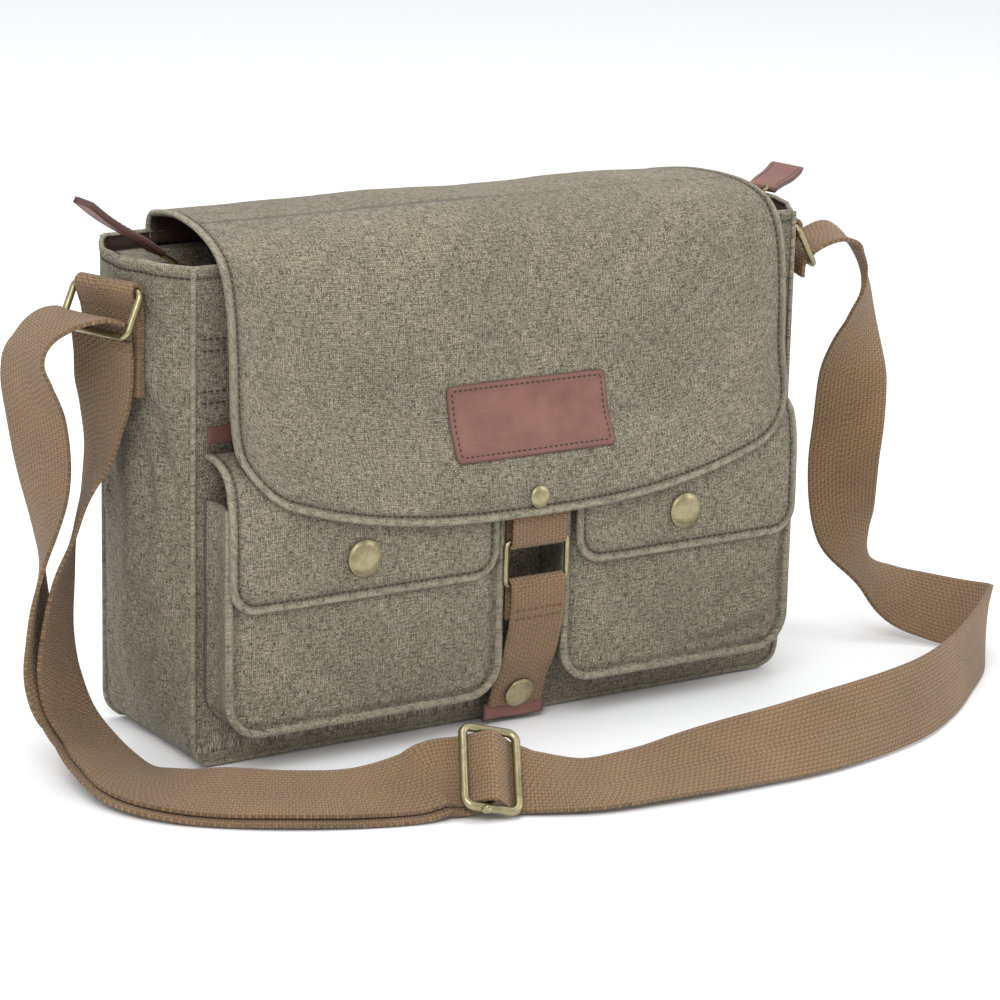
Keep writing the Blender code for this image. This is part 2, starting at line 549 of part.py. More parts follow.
def make_mouth_zip():
    """Two facings with their zip tapes, hanging open inside the mouth, and two sliders with pulls."""
    tape_edge = FACING_EDGE_Y + TAPE_WIDTH
    for name, side in (("front", -1), ("back", 1)):
        hinge = Matrix.Translation((0, side * FACING_HINGE_Y, MOUTH_Z))
        place = hinge @ Matrix.Rotation(side * FACING_HANG, 4, "X")
        reach = FACING_LENGTH / 2
        for piece, near, far, kind in (("facing", 0, FACING_HINGE_Y - tape_edge, "canvas"),
                                       ("tape", FACING_HINGE_Y - tape_edge + GAP,
                                        FACING_HINGE_Y - FACING_EDGE_Y, "zip_tape")):
            ends = sorted((-side * near, -side * far))
            box("zip_" + piece + "_" + name, (-reach, ends[0], -FACING_CLOTH / 2),
                (reach, ends[1], FACING_CLOTH / 2), kind, place=place)
    for name, side, park, rise, link_length, yaw, roll in (
            ("left", -1, LEFT_ZIP_PARK_X, LEFT_PULL_RISE, LEFT_LINK_LENGTH, 0.0, 0.0),
            ("right", 1, RIGHT_ZIP_PARK_X, RIGHT_PULL_RISE, RIGHT_LINK_LENGTH, RIGHT_PULL_YAW, RIGHT_PULL_ROLL)):
        x = side * park
        box(name + "_zip_slider", (x - 0.006, -0.0042, MOUTH_Z - 0.004), (x + 0.006, 0.0042, MOUTH_Z + 0.0025),
            "brass", bevel=0.001)
        pivot = Matrix.Translation((x, 0, MOUTH_Z + 0.0040))
        place = pivot @ Matrix.Rotation(-side * rise, 4, "Y")
        link = sorted((side * 0.0005, side * link_length))
        box(name + "_pull_link", (link[0], -PULL_LINK_HALF, -0.0009), (link[1], PULL_LINK_HALF, 0.0009), "brass",
            bevel=0.0005, place=place)
        # A turned leather starts as far out as its turned corner needs to clear the link.
        start = link_length + GAP + (PULL_LINK_HALF + GAP) * math.tan(yaw)
        if yaw:
            level = place @ Matrix.Translation((side * start, 0, 0)) @ Matrix.Rotation(side * (rise - PULL_LEVEL), 4, "Y")
            place = level @ Matrix.Rotation(yaw, 4, "Z") @ Matrix.Rotation(roll, 4, "X")
            start = 0.0
        ends = sorted((side * start, side * (start + PULL_LENGTH)))
        box(name + "_pull_leather", (ends[0], -PULL_WIDTH / 2, -PULL_LEATHER / 2),
            (ends[1], PULL_WIDTH / 2, PULL_LEATHER / 2), "leather", bevel=0.0008, place=place)


def make_front_zip():
    """The slanted-in zip pocket's tape above the snap pockets, with its slider and short leather pull."""
    reach = FRONT_ZIP_LENGTH / 2
    tape_y = FRONT_Y - GAP
    box("front_zip_tape", (-reach, tape_y - 0.001, FRONT_ZIP_Z - 0.004), (reach, tape_y, FRONT_ZIP_Z + 0.004),
        "zip_tape")
    x = -reach + 0.006
    slider_y = tape_y - 0.001 - GAP
    box("front_zip_slider", (x - 0.005, slider_y - 0.0032, FRONT_ZIP_Z - 0.0035),
        (x + 0.005, slider_y, FRONT_ZIP_Z + 0.0035), "brass", bevel=0.0008)
    pull_y = slider_y - 0.0032 - GAP
    box("front_zip_pull", (x - 0.020, pull_y - 0.0018, FRONT_ZIP_Z - 0.004),
        (x + 0.003, pull_y, FRONT_ZIP_Z + 0.004), "leather", bevel=0.0005)


def make_ring_and_chape(name, side):
    """A rectangular ring held by a folded webbing chape sewn on the gusset."""
    middle = Matrix.Translation((side * (BODY_WIDTH / 2 + GUSSET_BULGE + RING_STANDOFF), RING_Y,
                                 BODY_HEIGHT - RING_DROP))
    # In this frame +Z is up, +Y runs along the ring's bars and +X points away from the bag.
    turn = Matrix.Rotation(0 if side > 0 else math.pi, 4, "Z") @ Matrix.Rotation(-RING_TWIST, 4, "Z")
    if side < 0:
        turn = Matrix.Rotation(math.pi + RING_TWIST, 4, "Z")
    place = middle @ turn
    reach = STRAP_WIDTH / 2 + RING_CLEARANCE + RING_WIRE
    corner = 0.0035
    ring = []
    for y_side, drop, drop_side, start in ((1, 0, 1, 0), (-1, 0, 1, 90), (-1, RING_HEIGHT, -1, 180),
                                           (1, RING_HEIGHT, -1, 270)):
        centre = (y_side * (reach - corner), -drop - drop_side * corner)
        turn_points = arc(centre, corner, math.radians(start), math.radians(start + 90), 3)
        ring += [(-height * math.sin(RING_TILT), y, height * math.cos(RING_TILT)) for y, height in turn_points]
    wire(name + "_strap_ring", ring, RING_WIRE, "brass", closed=True, place=place)
    radius = 0.0029
    inner_x, outer_x = -0.0040, -0.0019
    low = RING_DROP + CHAPE_LENGTH - 0.014
    line = [(inner_x, -low), (inner_x, -0.014), (-0.0032, -0.004)]
    line += arc((0, 0), radius, math.pi, 0, 8)
    line += [(0.0016, -0.0045), (-0.0006, -0.010), (outer_x, -0.016), (outer_x, -low)]
    half = STRAP_WIDTH / 2 - CHAPE_INSET
    rows = [[(x, -half, z), (x, half, z)] for x, z in line]
    cloth(name + "_chape", rows, CHAPE_WEBBING, "webbing", place=place)


def strap_rows(route, width):
    """Rows across a strap: its width direction is kept square to its run."""
    line = smooth_line([tuple(value / 1000 for value in station[:3]) + tuple(station[3:]) for station in route],
                       ROUTE_STEPS)
    middles = [Vector(station[:3]) for station in line]
    rows = []
    for i, station in enumerate(line):
        run = (middles[min(i + 1, len(middles) - 1)] - middles[max(i - 1, 0)]).normalized()
        across = Vector(station[3:])
        across = (across - run * across.dot(run)).normalized()
        rows.append([middles[i] + across * width * share for share in (-0.5, 0.0, 0.5)])
    return rows


def beneath(route, first, last):
    """Stations just under a route's own, moved a little towards the outer edge so that it peeks out."""
    stations = []
    for i in range(first, last + 1):
        middle = Vector(route[i][:3])
        run = (Vector(route[i + 1][:3]) - Vector(route[i - 1][:3])).normalized()
        across = Vector(route[i][3:])
        across = (across - run * across.dot(run)).normalized()
        place = middle - run.cross(across) * LAYER_DROP - across * LAYER_PEEK
        stations.append((*place, *across))
    return stations


def make_strap():
    cloth("shoulder_strap", strap_rows(STRAP_ROUTE, STRAP_WIDTH), STRAP_WEBBING, "webbing")
    lower = RETURN_DROP + beneath(STRAP_ROUTE, LAYERED_FROM, LAYERED_TO) + RETURN_END
    cloth("strap_return", strap_rows(lower, STRAP_WIDTH), STRAP_WEBBING, "webbing")
    across = SLIDER_ACROSS.normalized()
    along = (SLIDER_ALONG - across * SLIDER_ALONG.dot(across)).normalized()
    out = along.cross(across)
    place = Matrix.Translation(SLIDER_CENTRE) @ Matrix((along, across, out)).transposed().to_4x4()
    reach = STRAP_WIDTH / 2 + RING_CLEARANCE + SLIDER_WIRE
    half_length = SLIDER_LENGTH / 2
    corner = 0.004
    frame = []
    for x_side, y_side, start in ((1, 1, 0), (-1, 1, 90), (-1, -1, 180), (1, -1, 270)):
        centre = (x_side * (half_length - corner), y_side * (reach - corner))
        turn = arc(centre, corner, math.radians(start), math.radians(start + 90), 3)
        frame += [(x, y, 0.0) for x, y in turn]
    wire("strap_slider", frame, SLIDER_WIRE, "brass", closed=True, place=place)
    bar_reach = reach - SLIDER_WIRE - GAP
    wire("strap_slider_bar", [(0, -bar_reach, 0), (0, bar_reach, 0)], SLIDER_WIRE * 0.8, "brass", place=place)


def make_side_tag():
    x = FRONT_CENTRE_X + RIGHT_POCKET_OUTER + GAP
    y = (FRONT_Y + POCKET_FRONT_Y) / 2
    box("side_tag", (x, y - 0.0004, 0.060), (x + 0.008, y + 0.0004, 0.078), "tag")


for old in list(bpy.data.objects):
    bpy.data.objects.remove(old, do_unlink=True)
BAG = new_collection("messenger_bag")
make_body()
make_pocket("left", -1)
make_pocket("right", 1)
make_flap()
make_closure()
make_mouth_zip()
make_front_zip()
make_ring_and_chape("left", -1)
make_ring_and_chape("right", 1)
make_strap()
make_side_tag()
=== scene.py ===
"""The looks of a canvas messenger bag: cloth, webbing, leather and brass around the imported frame."""
import json
import math

import bmesh
import bpy
from mathutils import Matrix, Vector, noise


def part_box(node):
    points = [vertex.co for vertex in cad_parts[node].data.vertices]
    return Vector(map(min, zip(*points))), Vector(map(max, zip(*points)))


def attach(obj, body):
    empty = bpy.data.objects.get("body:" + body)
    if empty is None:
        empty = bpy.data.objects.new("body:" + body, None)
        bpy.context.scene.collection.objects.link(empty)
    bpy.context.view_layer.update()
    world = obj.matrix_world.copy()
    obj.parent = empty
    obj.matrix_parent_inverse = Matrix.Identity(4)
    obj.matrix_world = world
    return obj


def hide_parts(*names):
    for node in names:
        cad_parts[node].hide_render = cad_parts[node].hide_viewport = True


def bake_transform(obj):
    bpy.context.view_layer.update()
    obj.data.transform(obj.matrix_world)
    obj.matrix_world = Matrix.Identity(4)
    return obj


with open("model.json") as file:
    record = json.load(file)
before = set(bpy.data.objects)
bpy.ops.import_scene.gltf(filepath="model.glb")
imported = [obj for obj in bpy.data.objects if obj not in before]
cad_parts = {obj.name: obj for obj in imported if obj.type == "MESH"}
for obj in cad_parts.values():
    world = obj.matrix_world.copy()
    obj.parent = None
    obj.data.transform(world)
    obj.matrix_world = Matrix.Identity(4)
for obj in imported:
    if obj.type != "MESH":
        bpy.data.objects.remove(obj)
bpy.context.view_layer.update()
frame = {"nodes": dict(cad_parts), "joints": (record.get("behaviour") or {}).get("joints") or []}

JOINTS = {joint["name"]: joint for joint in frame["joints"]}
MM = 0.001

# Places read from the frame
FRONT_LOW, FRONT_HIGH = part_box("front_panel")
HALF_WIDTH = FRONT_HIGH.x
FRONT_Y = FRONT_LOW.y
BACK_Y = -FRONT_Y
RIM_Z = FRONT_HIGH.z
GUSSET_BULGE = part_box("right_gusset")[1].x - HALF_WIDTH
SIDE_RADIUS = HALF_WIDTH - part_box("bottom_panel")[1].x
FRONT_RADIUS = BACK_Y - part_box("bottom_panel")[1].y
POCKET_BOXES = {side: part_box(side + "_pocket") for side in ("left", "right")}
POCKET_FRONT_Y = POCKET_BOXES["left"][0].y
POCKET_TOP_Z = POCKET_BOXES["left"][1].z
FLAP_LOW, FLAP_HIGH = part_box("flap_front")
FRONT_CENTRE_X = (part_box("closure_ring")[0].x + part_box("closure_ring")[1].x) / 2
MOUTH_Z = JOINTS["zip_front_fold"]["pos_m"][2]
FACING_Y = JOINTS["zip_back_fold"]["pos_m"][1]

# Cloth and webbing
STRAP_WIDTH = 0.038
BODY_CLOTH = 2.0 * MM
POCKET_FRONT_CLOTH = 1.8 * MM
POCKET_WALL_CLOTH = 1.4 * MM
POCKET_FLAP_CLOTH = 2.2 * MM
FLAP_CLOTH = 2.6 * MM
STRAP_WEBBING = 1.9 * MM
CLOSURE_WEBBING = 1.8 * MM
CHAPE_WEBBING = 2.2 * MM
RING_PLAY = 0.7 * MM
FLAP_STITCH_INSET = 4.7 * MM
POCKET_FLAP_STITCH_INSET = 4.6 * MM
LOW_WALL_Z = 0.016

# The camera, and the lights as name, place, size and power
CAMERA_PLACE = Vector((-0.90313, -1.44133, 0.55633))
CAMERA_RIGHT = Vector((0.84308, -0.53729, 0.02296))
CAMERA_UP = Vector((0.12034, 0.23009, 0.96570))
CAMERA_LENS = 126.8
LIGHTS = (("key", (-1.3, -1.5, 2.0), 1.4, 34.0), ("fill", (1.9, -1.2, 1.3), 1.6, 14.0),
          ("top", (0.2, 0.6, 2.4), 1.8, 22.0))
LIGHTS_AIM = Vector((0, 0, 0.1))
FLOOR_Z = -0.0004


# ---------------------------------------------------------------- camera, light and floor
def make_stage():
    """A long lens at the bag's left front, a pale floor and soft studio light."""
    scene = bpy.context.scene
    camera = bpy.data.objects.new("camera", bpy.data.cameras.new("camera"))
    camera.data.lens = CAMERA_LENS
    camera.data.sensor_width = 36.0
    camera.data.clip_start = 0.05
    turn = Matrix((CAMERA_RIGHT, CAMERA_UP, CAMERA_RIGHT.cross(CAMERA_UP))).transposed().to_4x4()
    camera.matrix_world = Matrix.Translation(CAMERA_PLACE) @ turn
    scene.collection.objects.link(camera)
    scene.camera = camera

    world = bpy.data.worlds.new("studio")
    world.use_nodes = True
    world.node_tree.nodes["Background"].inputs["Color"].default_value = (1.0, 1.0, 1.0, 1.0)
    world.node_tree.nodes["Background"].inputs["Strength"].default_value = 0.85
    scene.world = world
    scene.view_settings.view_transform = "Standard"

    for name, where, size, power in LIGHTS:
        light = bpy.data.objects.new(name, bpy.data.lights.new(name, "AREA"))
        light.data.energy = power
        light.data.size = size
        light.location = where
        light.rotation_euler = (LIGHTS_AIM - Vector(where)).to_track_quat("-Z", "Y").to_euler()
        scene.collection.objects.link(light)

    bpy.ops.mesh.primitive_plane_add(size=12, location=(0, 0, FLOOR_Z))
    floor = bpy.context.object
    floor.name = "floor"
    material = bpy.data.materials.new("floor")
    material.use_nodes = True
    shader = material.node_tree.nodes["Principled BSDF"]
    shader.inputs["Base Color"].default_value = (0.93, 0.94, 0.96, 1.0)
    shader.inputs["Roughness"].default_value = 0.75
    floor.data.materials.append(material)


# ---------------------------------------------------------------- materials
class Nodes:
    """Short forms for building a material's node tree."""

    def __init__(self, name, roughness, metallic=0.0, sheen=0.0):
        self.material = bpy.data.materials.new(name)
        self.material.use_nodes = True
        self.tree = self.material.node_tree
        self.shader = self.tree.nodes["Principled BSDF"]
        self.shader.inputs["Roughness"].default_value = roughness
        self.shader.inputs["Metallic"].default_value = metallic
        self.shader.inputs["Sheen Weight"].default_value = sheen
        self.shader.inputs["Sheen Roughness"].default_value = 0.6

    def put(self, socket, value):
        if isinstance(value, bpy.types.NodeSocket):
            self.tree.links.new(value, socket)
        else:
            socket.default_value = value

    def math(self, operation, a, b=0.5, clamp=False):
        node = self.tree.nodes.new("ShaderNodeMath")
        node.operation = operation
        node.use_clamp = clamp
        self.put(node.inputs[0], a)
        self.put(node.inputs[1], b)
        return node.outputs[0]

    def uv(self):
        node = self.tree.nodes.new("ShaderNodeUVMap")
        node.uv_map = "cloth"
        split = self.tree.nodes.new("ShaderNodeSeparateXYZ")
        self.tree.links.new(node.outputs[0], split.inputs[0])
        return node.outputs[0], split.outputs[0], split.outputs[1]

    def place(self):
        return self.tree.nodes.new("ShaderNodeTexCoord").outputs["Object"]

    def noise(self, vector, scale, detail=3.0, roughness=0.55):
        node = self.tree.nodes.new("ShaderNodeTexNoise")
        self.put(node.inputs["Vector"], vector)
        node.inputs["Scale"].default_value = scale
        node.inputs["Detail"].default_value = detail
        node.inputs["Roughness"].default_value = roughness
        return node.outputs[0]

    def stretch(self, vector, x, y):
        node = self.tree.nodes.new("ShaderNodeMapping")
        self.put(node.inputs["Vector"], vector)
        node.inputs["Scale"].default_value = (x, y, 1.0)
        return node.outputs[0]

    def mix(self, share, a, b, kind="MIX"):
        node = self.tree.nodes.new("ShaderNodeMix")
        node.data_type = "RGBA"
        node.blend_type = kind
        self.put(node.inputs[0], share)
        self.put(node.inputs[6], (*a, 1.0) if isinstance(a, tuple) else a)
        self.put(node.inputs[7], (*b, 1.0) if isinstance(b, tuple) else b)
        return node.outputs[2]

    def ramp(self, value, low, high, start=0.0, end=1.0):
        node = self.tree.nodes.new("ShaderNodeMapRange")
        self.put(node.inputs["Value"], value)
        for name, number in (("From Min", low), ("From Max", high), ("To Min", start), ("To Max", end)):
            node.inputs[name].default_value = number
        return node.outputs[0]

    def attribute(self, name):
        node = self.tree.nodes.new("ShaderNodeAttribute")
        node.attribute_name = name
        return node.outputs["Fac"]

    def multiplied(self, color, shade):
        """The colour darkened or lightened by a plain number."""
        grey = self.tree.nodes.new("ShaderNodeCombineColor")
        for socket in grey.inputs[:3]:
            self.put(socket, shade)
        return self.mix(1.0, color, grey.outputs[0], "MULTIPLY")

    def bump(self, height, distance, strength=1.0, under=None):
        node = self.tree.nodes.new("ShaderNodeBump")
        node.inputs["Strength"].default_value = strength
        node.inputs["Distance"].default_value = distance
        self.put(node.inputs["Height"], height)
        if under is not None:
            self.put(node.inputs["Normal"], under)
        return node.outputs[0]

    def done(self, color, normal=None, roughness=None):
        self.put(self.shader.inputs["Base Color"], color)
        if normal is not None:
            self.put(self.shader.inputs["Normal"], normal)
        if roughness is not None:
            self.put(self.shader.inputs["Roughness"], roughness)
        return self.material


CANVAS_PITCH = 0.00105
WEBBING_PITCH = (0.0021, 0.0014)


def weave_height(nodes, u, v, pitch_u, pitch_v):
    """Plain weave: threads of the two directions come to the top in turn."""
    wave_u = nodes.math("SINE", nodes.math("MULTIPLY", u, math.pi / pitch_u))
    wave_v = nodes.math("SINE", nodes.math("MULTIPLY", v, math.pi / pitch_v))
    over = nodes.math("GREATER_THAN", nodes.math("MULTIPLY", wave_u, wave_v), 0.0)
    tall_u = nodes.math("ABSOLUTE", wave_u)
    tall_v = nodes.math("ABSOLUTE", wave_v)
    first = nodes.math("MULTIPLY", tall_u, over)
    second = nodes.math("MULTIPLY", tall_v, nodes.math("SUBTRACT", 1.0, over))
    return nodes.math("ADD", first, second), over


def canvas_material(name, base, pale, dark):
    """Washed canvas: coarse uneven threads, cloudy fading, pale worn edges, and painted shade in the weave's hollows,
    stitched grooves and folds.
    """
    nodes = Nodes(name, 0.95, sheen=0.05)
    vector, u, v = nodes.uv()
    height, over = weave_height(nodes, u, v, CANVAS_PITCH, CANVAS_PITCH)
    slub_u = nodes.noise(nodes.stretch(vector, 230, 1150), 1.0, 2.0)
    slub_v = nodes.noise(nodes.stretch(vector, 1150, 230), 1.0, 2.0)
    slub = nodes.math("ADD", nodes.math("MULTIPLY", slub_u, over),
                      nodes.math("MULTIPLY", slub_v, nodes.math("SUBTRACT", 1.0, over)))
    cloud = nodes.noise(vector, 14.0, 4.0)
    patchy = nodes.noise(vector, 90.0, 3.0)
    thread = nodes.ramp(slub, 0.33, 0.67)
    color = nodes.mix(thread, dark, pale)
    color = nodes.mix(0.92, base, color)
    shade = nodes.ramp(cloud, 0.3, 0.7, 0.86, 1.14)
    shade = nodes.math("MULTIPLY", shade, nodes.ramp(patchy, 0.3, 0.7, 0.88, 1.12))
    # Painted shade in the weave's hollows and painted light on the thread tops, from the weave's height
    shade = nodes.math("MULTIPLY", shade, nodes.ramp(height, 0.0, 1.0, 0.52, 1.14))
    color = nodes.multiplied(color, shade)
    rubbed = nodes.ramp(nodes.noise(vector, 260.0, 3.0), 0.35, 0.62)
    worn = nodes.math("MULTIPLY", nodes.attribute("wear"), rubbed)
    color = nodes.mix(nodes.math("MULTIPLY", worn, 0.75, clamp=True), color, pale)
    # Painted shade darkens the hems' stitched grooves and the pocket walls' inward fold
    soil = nodes.math("MULTIPLY", nodes.attribute("soil"), 0.6, clamp=True)
    color = nodes.mix(soil, color, dark)
    coarse = nodes.bump(nodes.noise(vector, 420.0, 2.0), 0.0004, 0.5)
    return nodes.done(color, nodes.bump(height, 0.00035, 0.75, coarse))


def webbing_material(name, base, pale, dark):
    """Ribbed cotton webbing: heavy threads in a plain weave, with painted shade between them and painted light on
    their tops.
    """
    nodes = Nodes(name, 0.9, sheen=0.15)
    vector, u, v = nodes.uv()
    height, _ = weave_height(nodes, u, v, *WEBBING_PITCH)
    fibre = nodes.noise(nodes.stretch(vector, 2600, 700), 1.0, 3.0)
    cloud = nodes.noise(vector, 22.0, 3.0)
    color = nodes.mix(nodes.ramp(fibre, 0.3, 0.7), dark, pale)
    color = nodes.mix(0.5, base, color)
    # Cloudy tone changes, times painted shade between the threads and painted light on their tops
    shade = nodes.math("MULTIPLY", nodes.ramp(cloud, 0.3, 0.7, 0.84, 1.12),
                       nodes.ramp(height, 0.10, 0.95, 0.58, 1.12))
    color = nodes.multiplied(color, shade)
    rough = nodes.bump(fibre, 0.0003, 0.6)
    return nodes.done(color, nodes.bump(height, 0.0007, 0.9, rough))


def leather_material(name, base, pale, dark):
    """Matt waxed leather with fine grain, scuffs and dark cut edges."""
    nodes = Nodes(name, 0.55)
    place = nodes.place()
    grain = nodes.noise(place, 900.0, 4.0, 0.6)
    mottle = nodes.noise(place, 70.0, 4.0)
    scuff = nodes.noise(nodes.stretch(place, 120, 900), 1.0, 3.0)
    color = nodes.mix(nodes.ramp(mottle, 0.3, 0.7), base, pale)
    color = nodes.mix(nodes.ramp(scuff, 0.58, 0.75, 0.0, 0.45), color, pale)
    # Darker at the leather's dyed cut edges, and painted shade in the patch's stitched groove
    color = nodes.mix(nodes.math("MULTIPLY", nodes.attribute("soil"), 0.85, clamp=True), color, dark)
    cell = nodes.tree.nodes.new("ShaderNodeTexVoronoi")
    nodes.put(cell.inputs["Vector"], place)
    cell.inputs["Scale"].default_value = 1100.0
    bump = nodes.bump(cell.outputs["Distance"], 0.00015, 0.5, nodes.bump(grain, 0.0002, 0.6))
    return nodes.done(color, bump, nodes.ramp(mottle, 0.3, 0.7, 0.48, 0.68))


def brass_material(name, base, bright, dark):
    """Antique brass: dark patina in the hollows, rubbed bright on the high places."""
    nodes = Nodes(name, 0.34, metallic=1.0)
    place = nodes.place()
    spots = nodes.noise(place, 420.0, 4.0)
    haze = nodes.noise(place, 90.0, 2.0)
    color = nodes.mix(nodes.ramp(spots, 0.35, 0.65, 0.25, 0.65), base, bright)
    color = nodes.mix(nodes.ramp(haze, 0.50, 0.75, 0.0, 0.55), color, dark)
    bump = nodes.bump(spots, 0.00004, 0.35)
    return nodes.done(color, bump, nodes.ramp(haze, 0.3, 0.7, 0.26, 0.46))


def plain_cloth_material(name, base, dark):
    """Fine cloth or thread of one colour."""
    nodes = Nodes(name, 0.95)
    place = nodes.place()
    fine = nodes.noise(place, 1400.0, 2.0)
    color = nodes.mix(nodes.ramp(fine, 0.3, 0.7), dark, base)
    return nodes.done(color, nodes.bump(fine, 0.0003, 0.8))


KHAKI = (0.190, 0.163, 0.108)
KHAKI_PALE = (0.375, 0.338, 0.245)
KHAKI_DARK = (0.042, 0.033, 0.018)
MATERIALS = {
    "canvas": canvas_material("washed_canvas", KHAKI, KHAKI_PALE, KHAKI_DARK),
    "webbing": webbing_material("strap_webbing", (0.225, 0.126, 0.050), (0.385, 0.240, 0.115),
                                (0.085, 0.043, 0.016)),
    "leather": leather_material("brown_leather", (0.145, 0.056, 0.042), (0.215, 0.098, 0.077),
                                (0.028, 0.012, 0.009)),
    "brass": brass_material("antique_brass", (0.27, 0.225, 0.115), (0.46, 0.41, 0.26), (0.085, 0.072, 0.036)),
    "leather_dark": leather_material("dark_leather", (0.085, 0.030, 0.022), (0.12, 0.048, 0.036),
                                     (0.02, 0.01, 0.008)),
    "lining": plain_cloth_material("lining_cloth", (0.075, 0.045, 0.03), (0.03, 0.018, 0.012)),
    "zip_tape": plain_cloth_material("tape_cloth", (0.11, 0.075, 0.045), (0.05, 0.03, 0.018)),
    "tag": plain_cloth_material("tag_cloth", (0.02, 0.02, 0.022), (0.008, 0.008, 0.008)),
    "thread": plain_cloth_material("stitch_thread", (0.052, 0.038, 0.026), (0.022, 0.016, 0.011)),
    "thread_tan": plain_cloth_material("tan_thread", (0.16, 0.10, 0.055), (0.09, 0.05, 0.03)),
}
SLOTS = {"thread": "lining", "thread_tan": "webbing", "leather_dark": "leather"}


# ---------------------------------------------------------------- building helpers
def keep(piece, kind, body=None, replaces=()):
    """Gives a new piece its material, and lets it ride on its body."""
    if not piece.data.materials:
        piece.data.materials.append(MATERIALS[kind])
    SLOTS.get(kind, kind)
    if replaces:
        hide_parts(*replaces)
    if body:
        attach(piece, body)
    return piece


def add_mesh(name, mesh):
    """A new piece from a mesh."""
    piece = bpy.data.objects.new(name, mesh)
    bpy.context.scene.collection.objects.link(piece)
    return piece


def sheet(name, rows, thickness, kind, inner=None, offset=-1.0, wear=None, soil=None, uv_origin=(0.0, 0.0),
          front=None):
    """A cloth from rows of points, with UVs in metres, thickened inwards or, with offset 0, to both sides.

    wear and soil are functions of (row, column): wear marks pale worn places, and soil marks dark places, which are
    painted shade in grooves and folds and the dyed cut edges of leather. front is a direction that the middle face's
    outer side looks along, so that the faces are turned the right way.
    """
    mesh = bpy.data.meshes.new(name)
    shape = bmesh.new()
    layer = shape.loops.layers.uv.new("cloth")
    worn = shape.verts.layers.float.new("wear")
    # Dark places: painted shade in grooves and folds, and dark leather edges
    shade_and_edge_layer = shape.verts.layers.float.new("soil")
    grid = []
    places = {}
    along = [0.0] * len(rows[0])
    for i, row in enumerate(rows):
        line = []
        across = 0.0
        for j, point in enumerate(row):
            vert = shape.verts.new(point)
            if i:
                along[j] += (Vector(point) - Vector(rows[i - 1][j])).length
            if j:
                across += (Vector(point) - Vector(row[j - 1])).length
            vert[worn] = wear(i, j) if wear else 0.0
            vert[shade_and_edge_layer] = soil(i, j) if soil else 0.0
            places[vert] = (across + uv_origin[0], along[len(row) // 2] + uv_origin[1])
            line.append(vert)
        width = across / 2
        for vert in line:
            places[vert] = (places[vert][0] - width, places[vert][1])
        grid.append(line)
    for lower, upper in zip(grid, grid[1:]):
        for a, b, c, d in zip(lower, lower[1:], upper[1:], upper):
            face = shape.faces.new((a, b, c, d))
            face.smooth = True
            for loop in face.loops:
                loop[layer].uv = places[loop.vert]
    shape.normal_update()
    if front is not None:
        shape.faces.ensure_lookup_table()
        middle = shape.faces[len(shape.faces) // 2]
        if middle.normal.dot(Vector(front)) < 0:
            bmesh.ops.reverse_faces(shape, faces=shape.faces[:])
    shape.to_mesh(mesh)
    shape.free()
    piece = add_mesh(name, mesh)
    mesh.materials.append(MATERIALS[kind])
    if inner:
        mesh.materials.append(MATERIALS[inner])
    shell = piece.modifiers.new("cloth", "SOLIDIFY")
    shell.thickness = thickness
    shell.offset = offset
    shell.use_even_offset = True
    shell.material_offset = 1 if inner else 0
    return piece


def round_edges(piece, width):
    """Rounds the selvedges and ends of a webbing."""
    rounding = piece.modifiers.new("edges", "BEVEL")
    rounding.width = width
    rounding.segments = 2
    rounding.limit_method = "ANGLE"
    rounding.angle_limit = math.radians(50)


def apply_modifiers(piece):
    """Leaves the evaluated mesh in place of the modifiers."""
    evaluated = piece.evaluated_get(bpy.context.evaluated_depsgraph_get())
    mesh = bpy.data.meshes.new_from_object(evaluated)
    piece.modifiers.clear()
    piece.data = mesh
    return piece


def wire(name, points, radius, kind, closed=False, place=Matrix()):
    """A round wire along points, open or closed to a loop."""
    curve = bpy.data.curves.new(name, "CURVE")
    curve.dimensions = "3D"
    curve.bevel_depth = radius
    curve.bevel_resolution = 5
    curve.use_fill_caps = True
    spline = curve.splines.new("POLY")
    spline.points.add(len(points) - 1)
    for target, point in zip(spline.points, points):
        target.co = (*point, 1.0)
    spline.use_cyclic_u = closed
    spline.use_smooth = True
    curve.materials.append(MATERIALS[kind])
    piece = bpy.data.objects.new(name, curve)
    bpy.context.scene.collection.objects.link(piece)
    piece.matrix_world = place
    return piece


def as_mesh(piece):
    """Turns a curve piece into a mesh with a simple UV, so that cloth materials work on it."""
    evaluated = piece.evaluated_get(bpy.context.evaluated_depsgraph_get())
    mesh = bpy.data.meshes.new_from_object(evaluated)
    mesh.transform(piece.matrix_world)
    layer = mesh.uv_layers.new(name="cloth") if "cloth" not in mesh.uv_layers else mesh.uv_layers["cloth"]
    for loop in mesh.loops:
        point = mesh.vertices[loop.vertex_index].co
        layer.data[loop.index].uv = (point.x + point.y, point.z + point.y * 0.3)
    worn = mesh.attributes.new("wear", "FLOAT", "POINT")
    for vert in mesh.vertices:
        worn.data[vert.index].value = 0.65
    solid = add_mesh(piece.name + "_", mesh)
    name = piece.name
    bpy.data.objects.remove(piece)
    solid.name = name
    mesh.shade_smooth()
    return solid


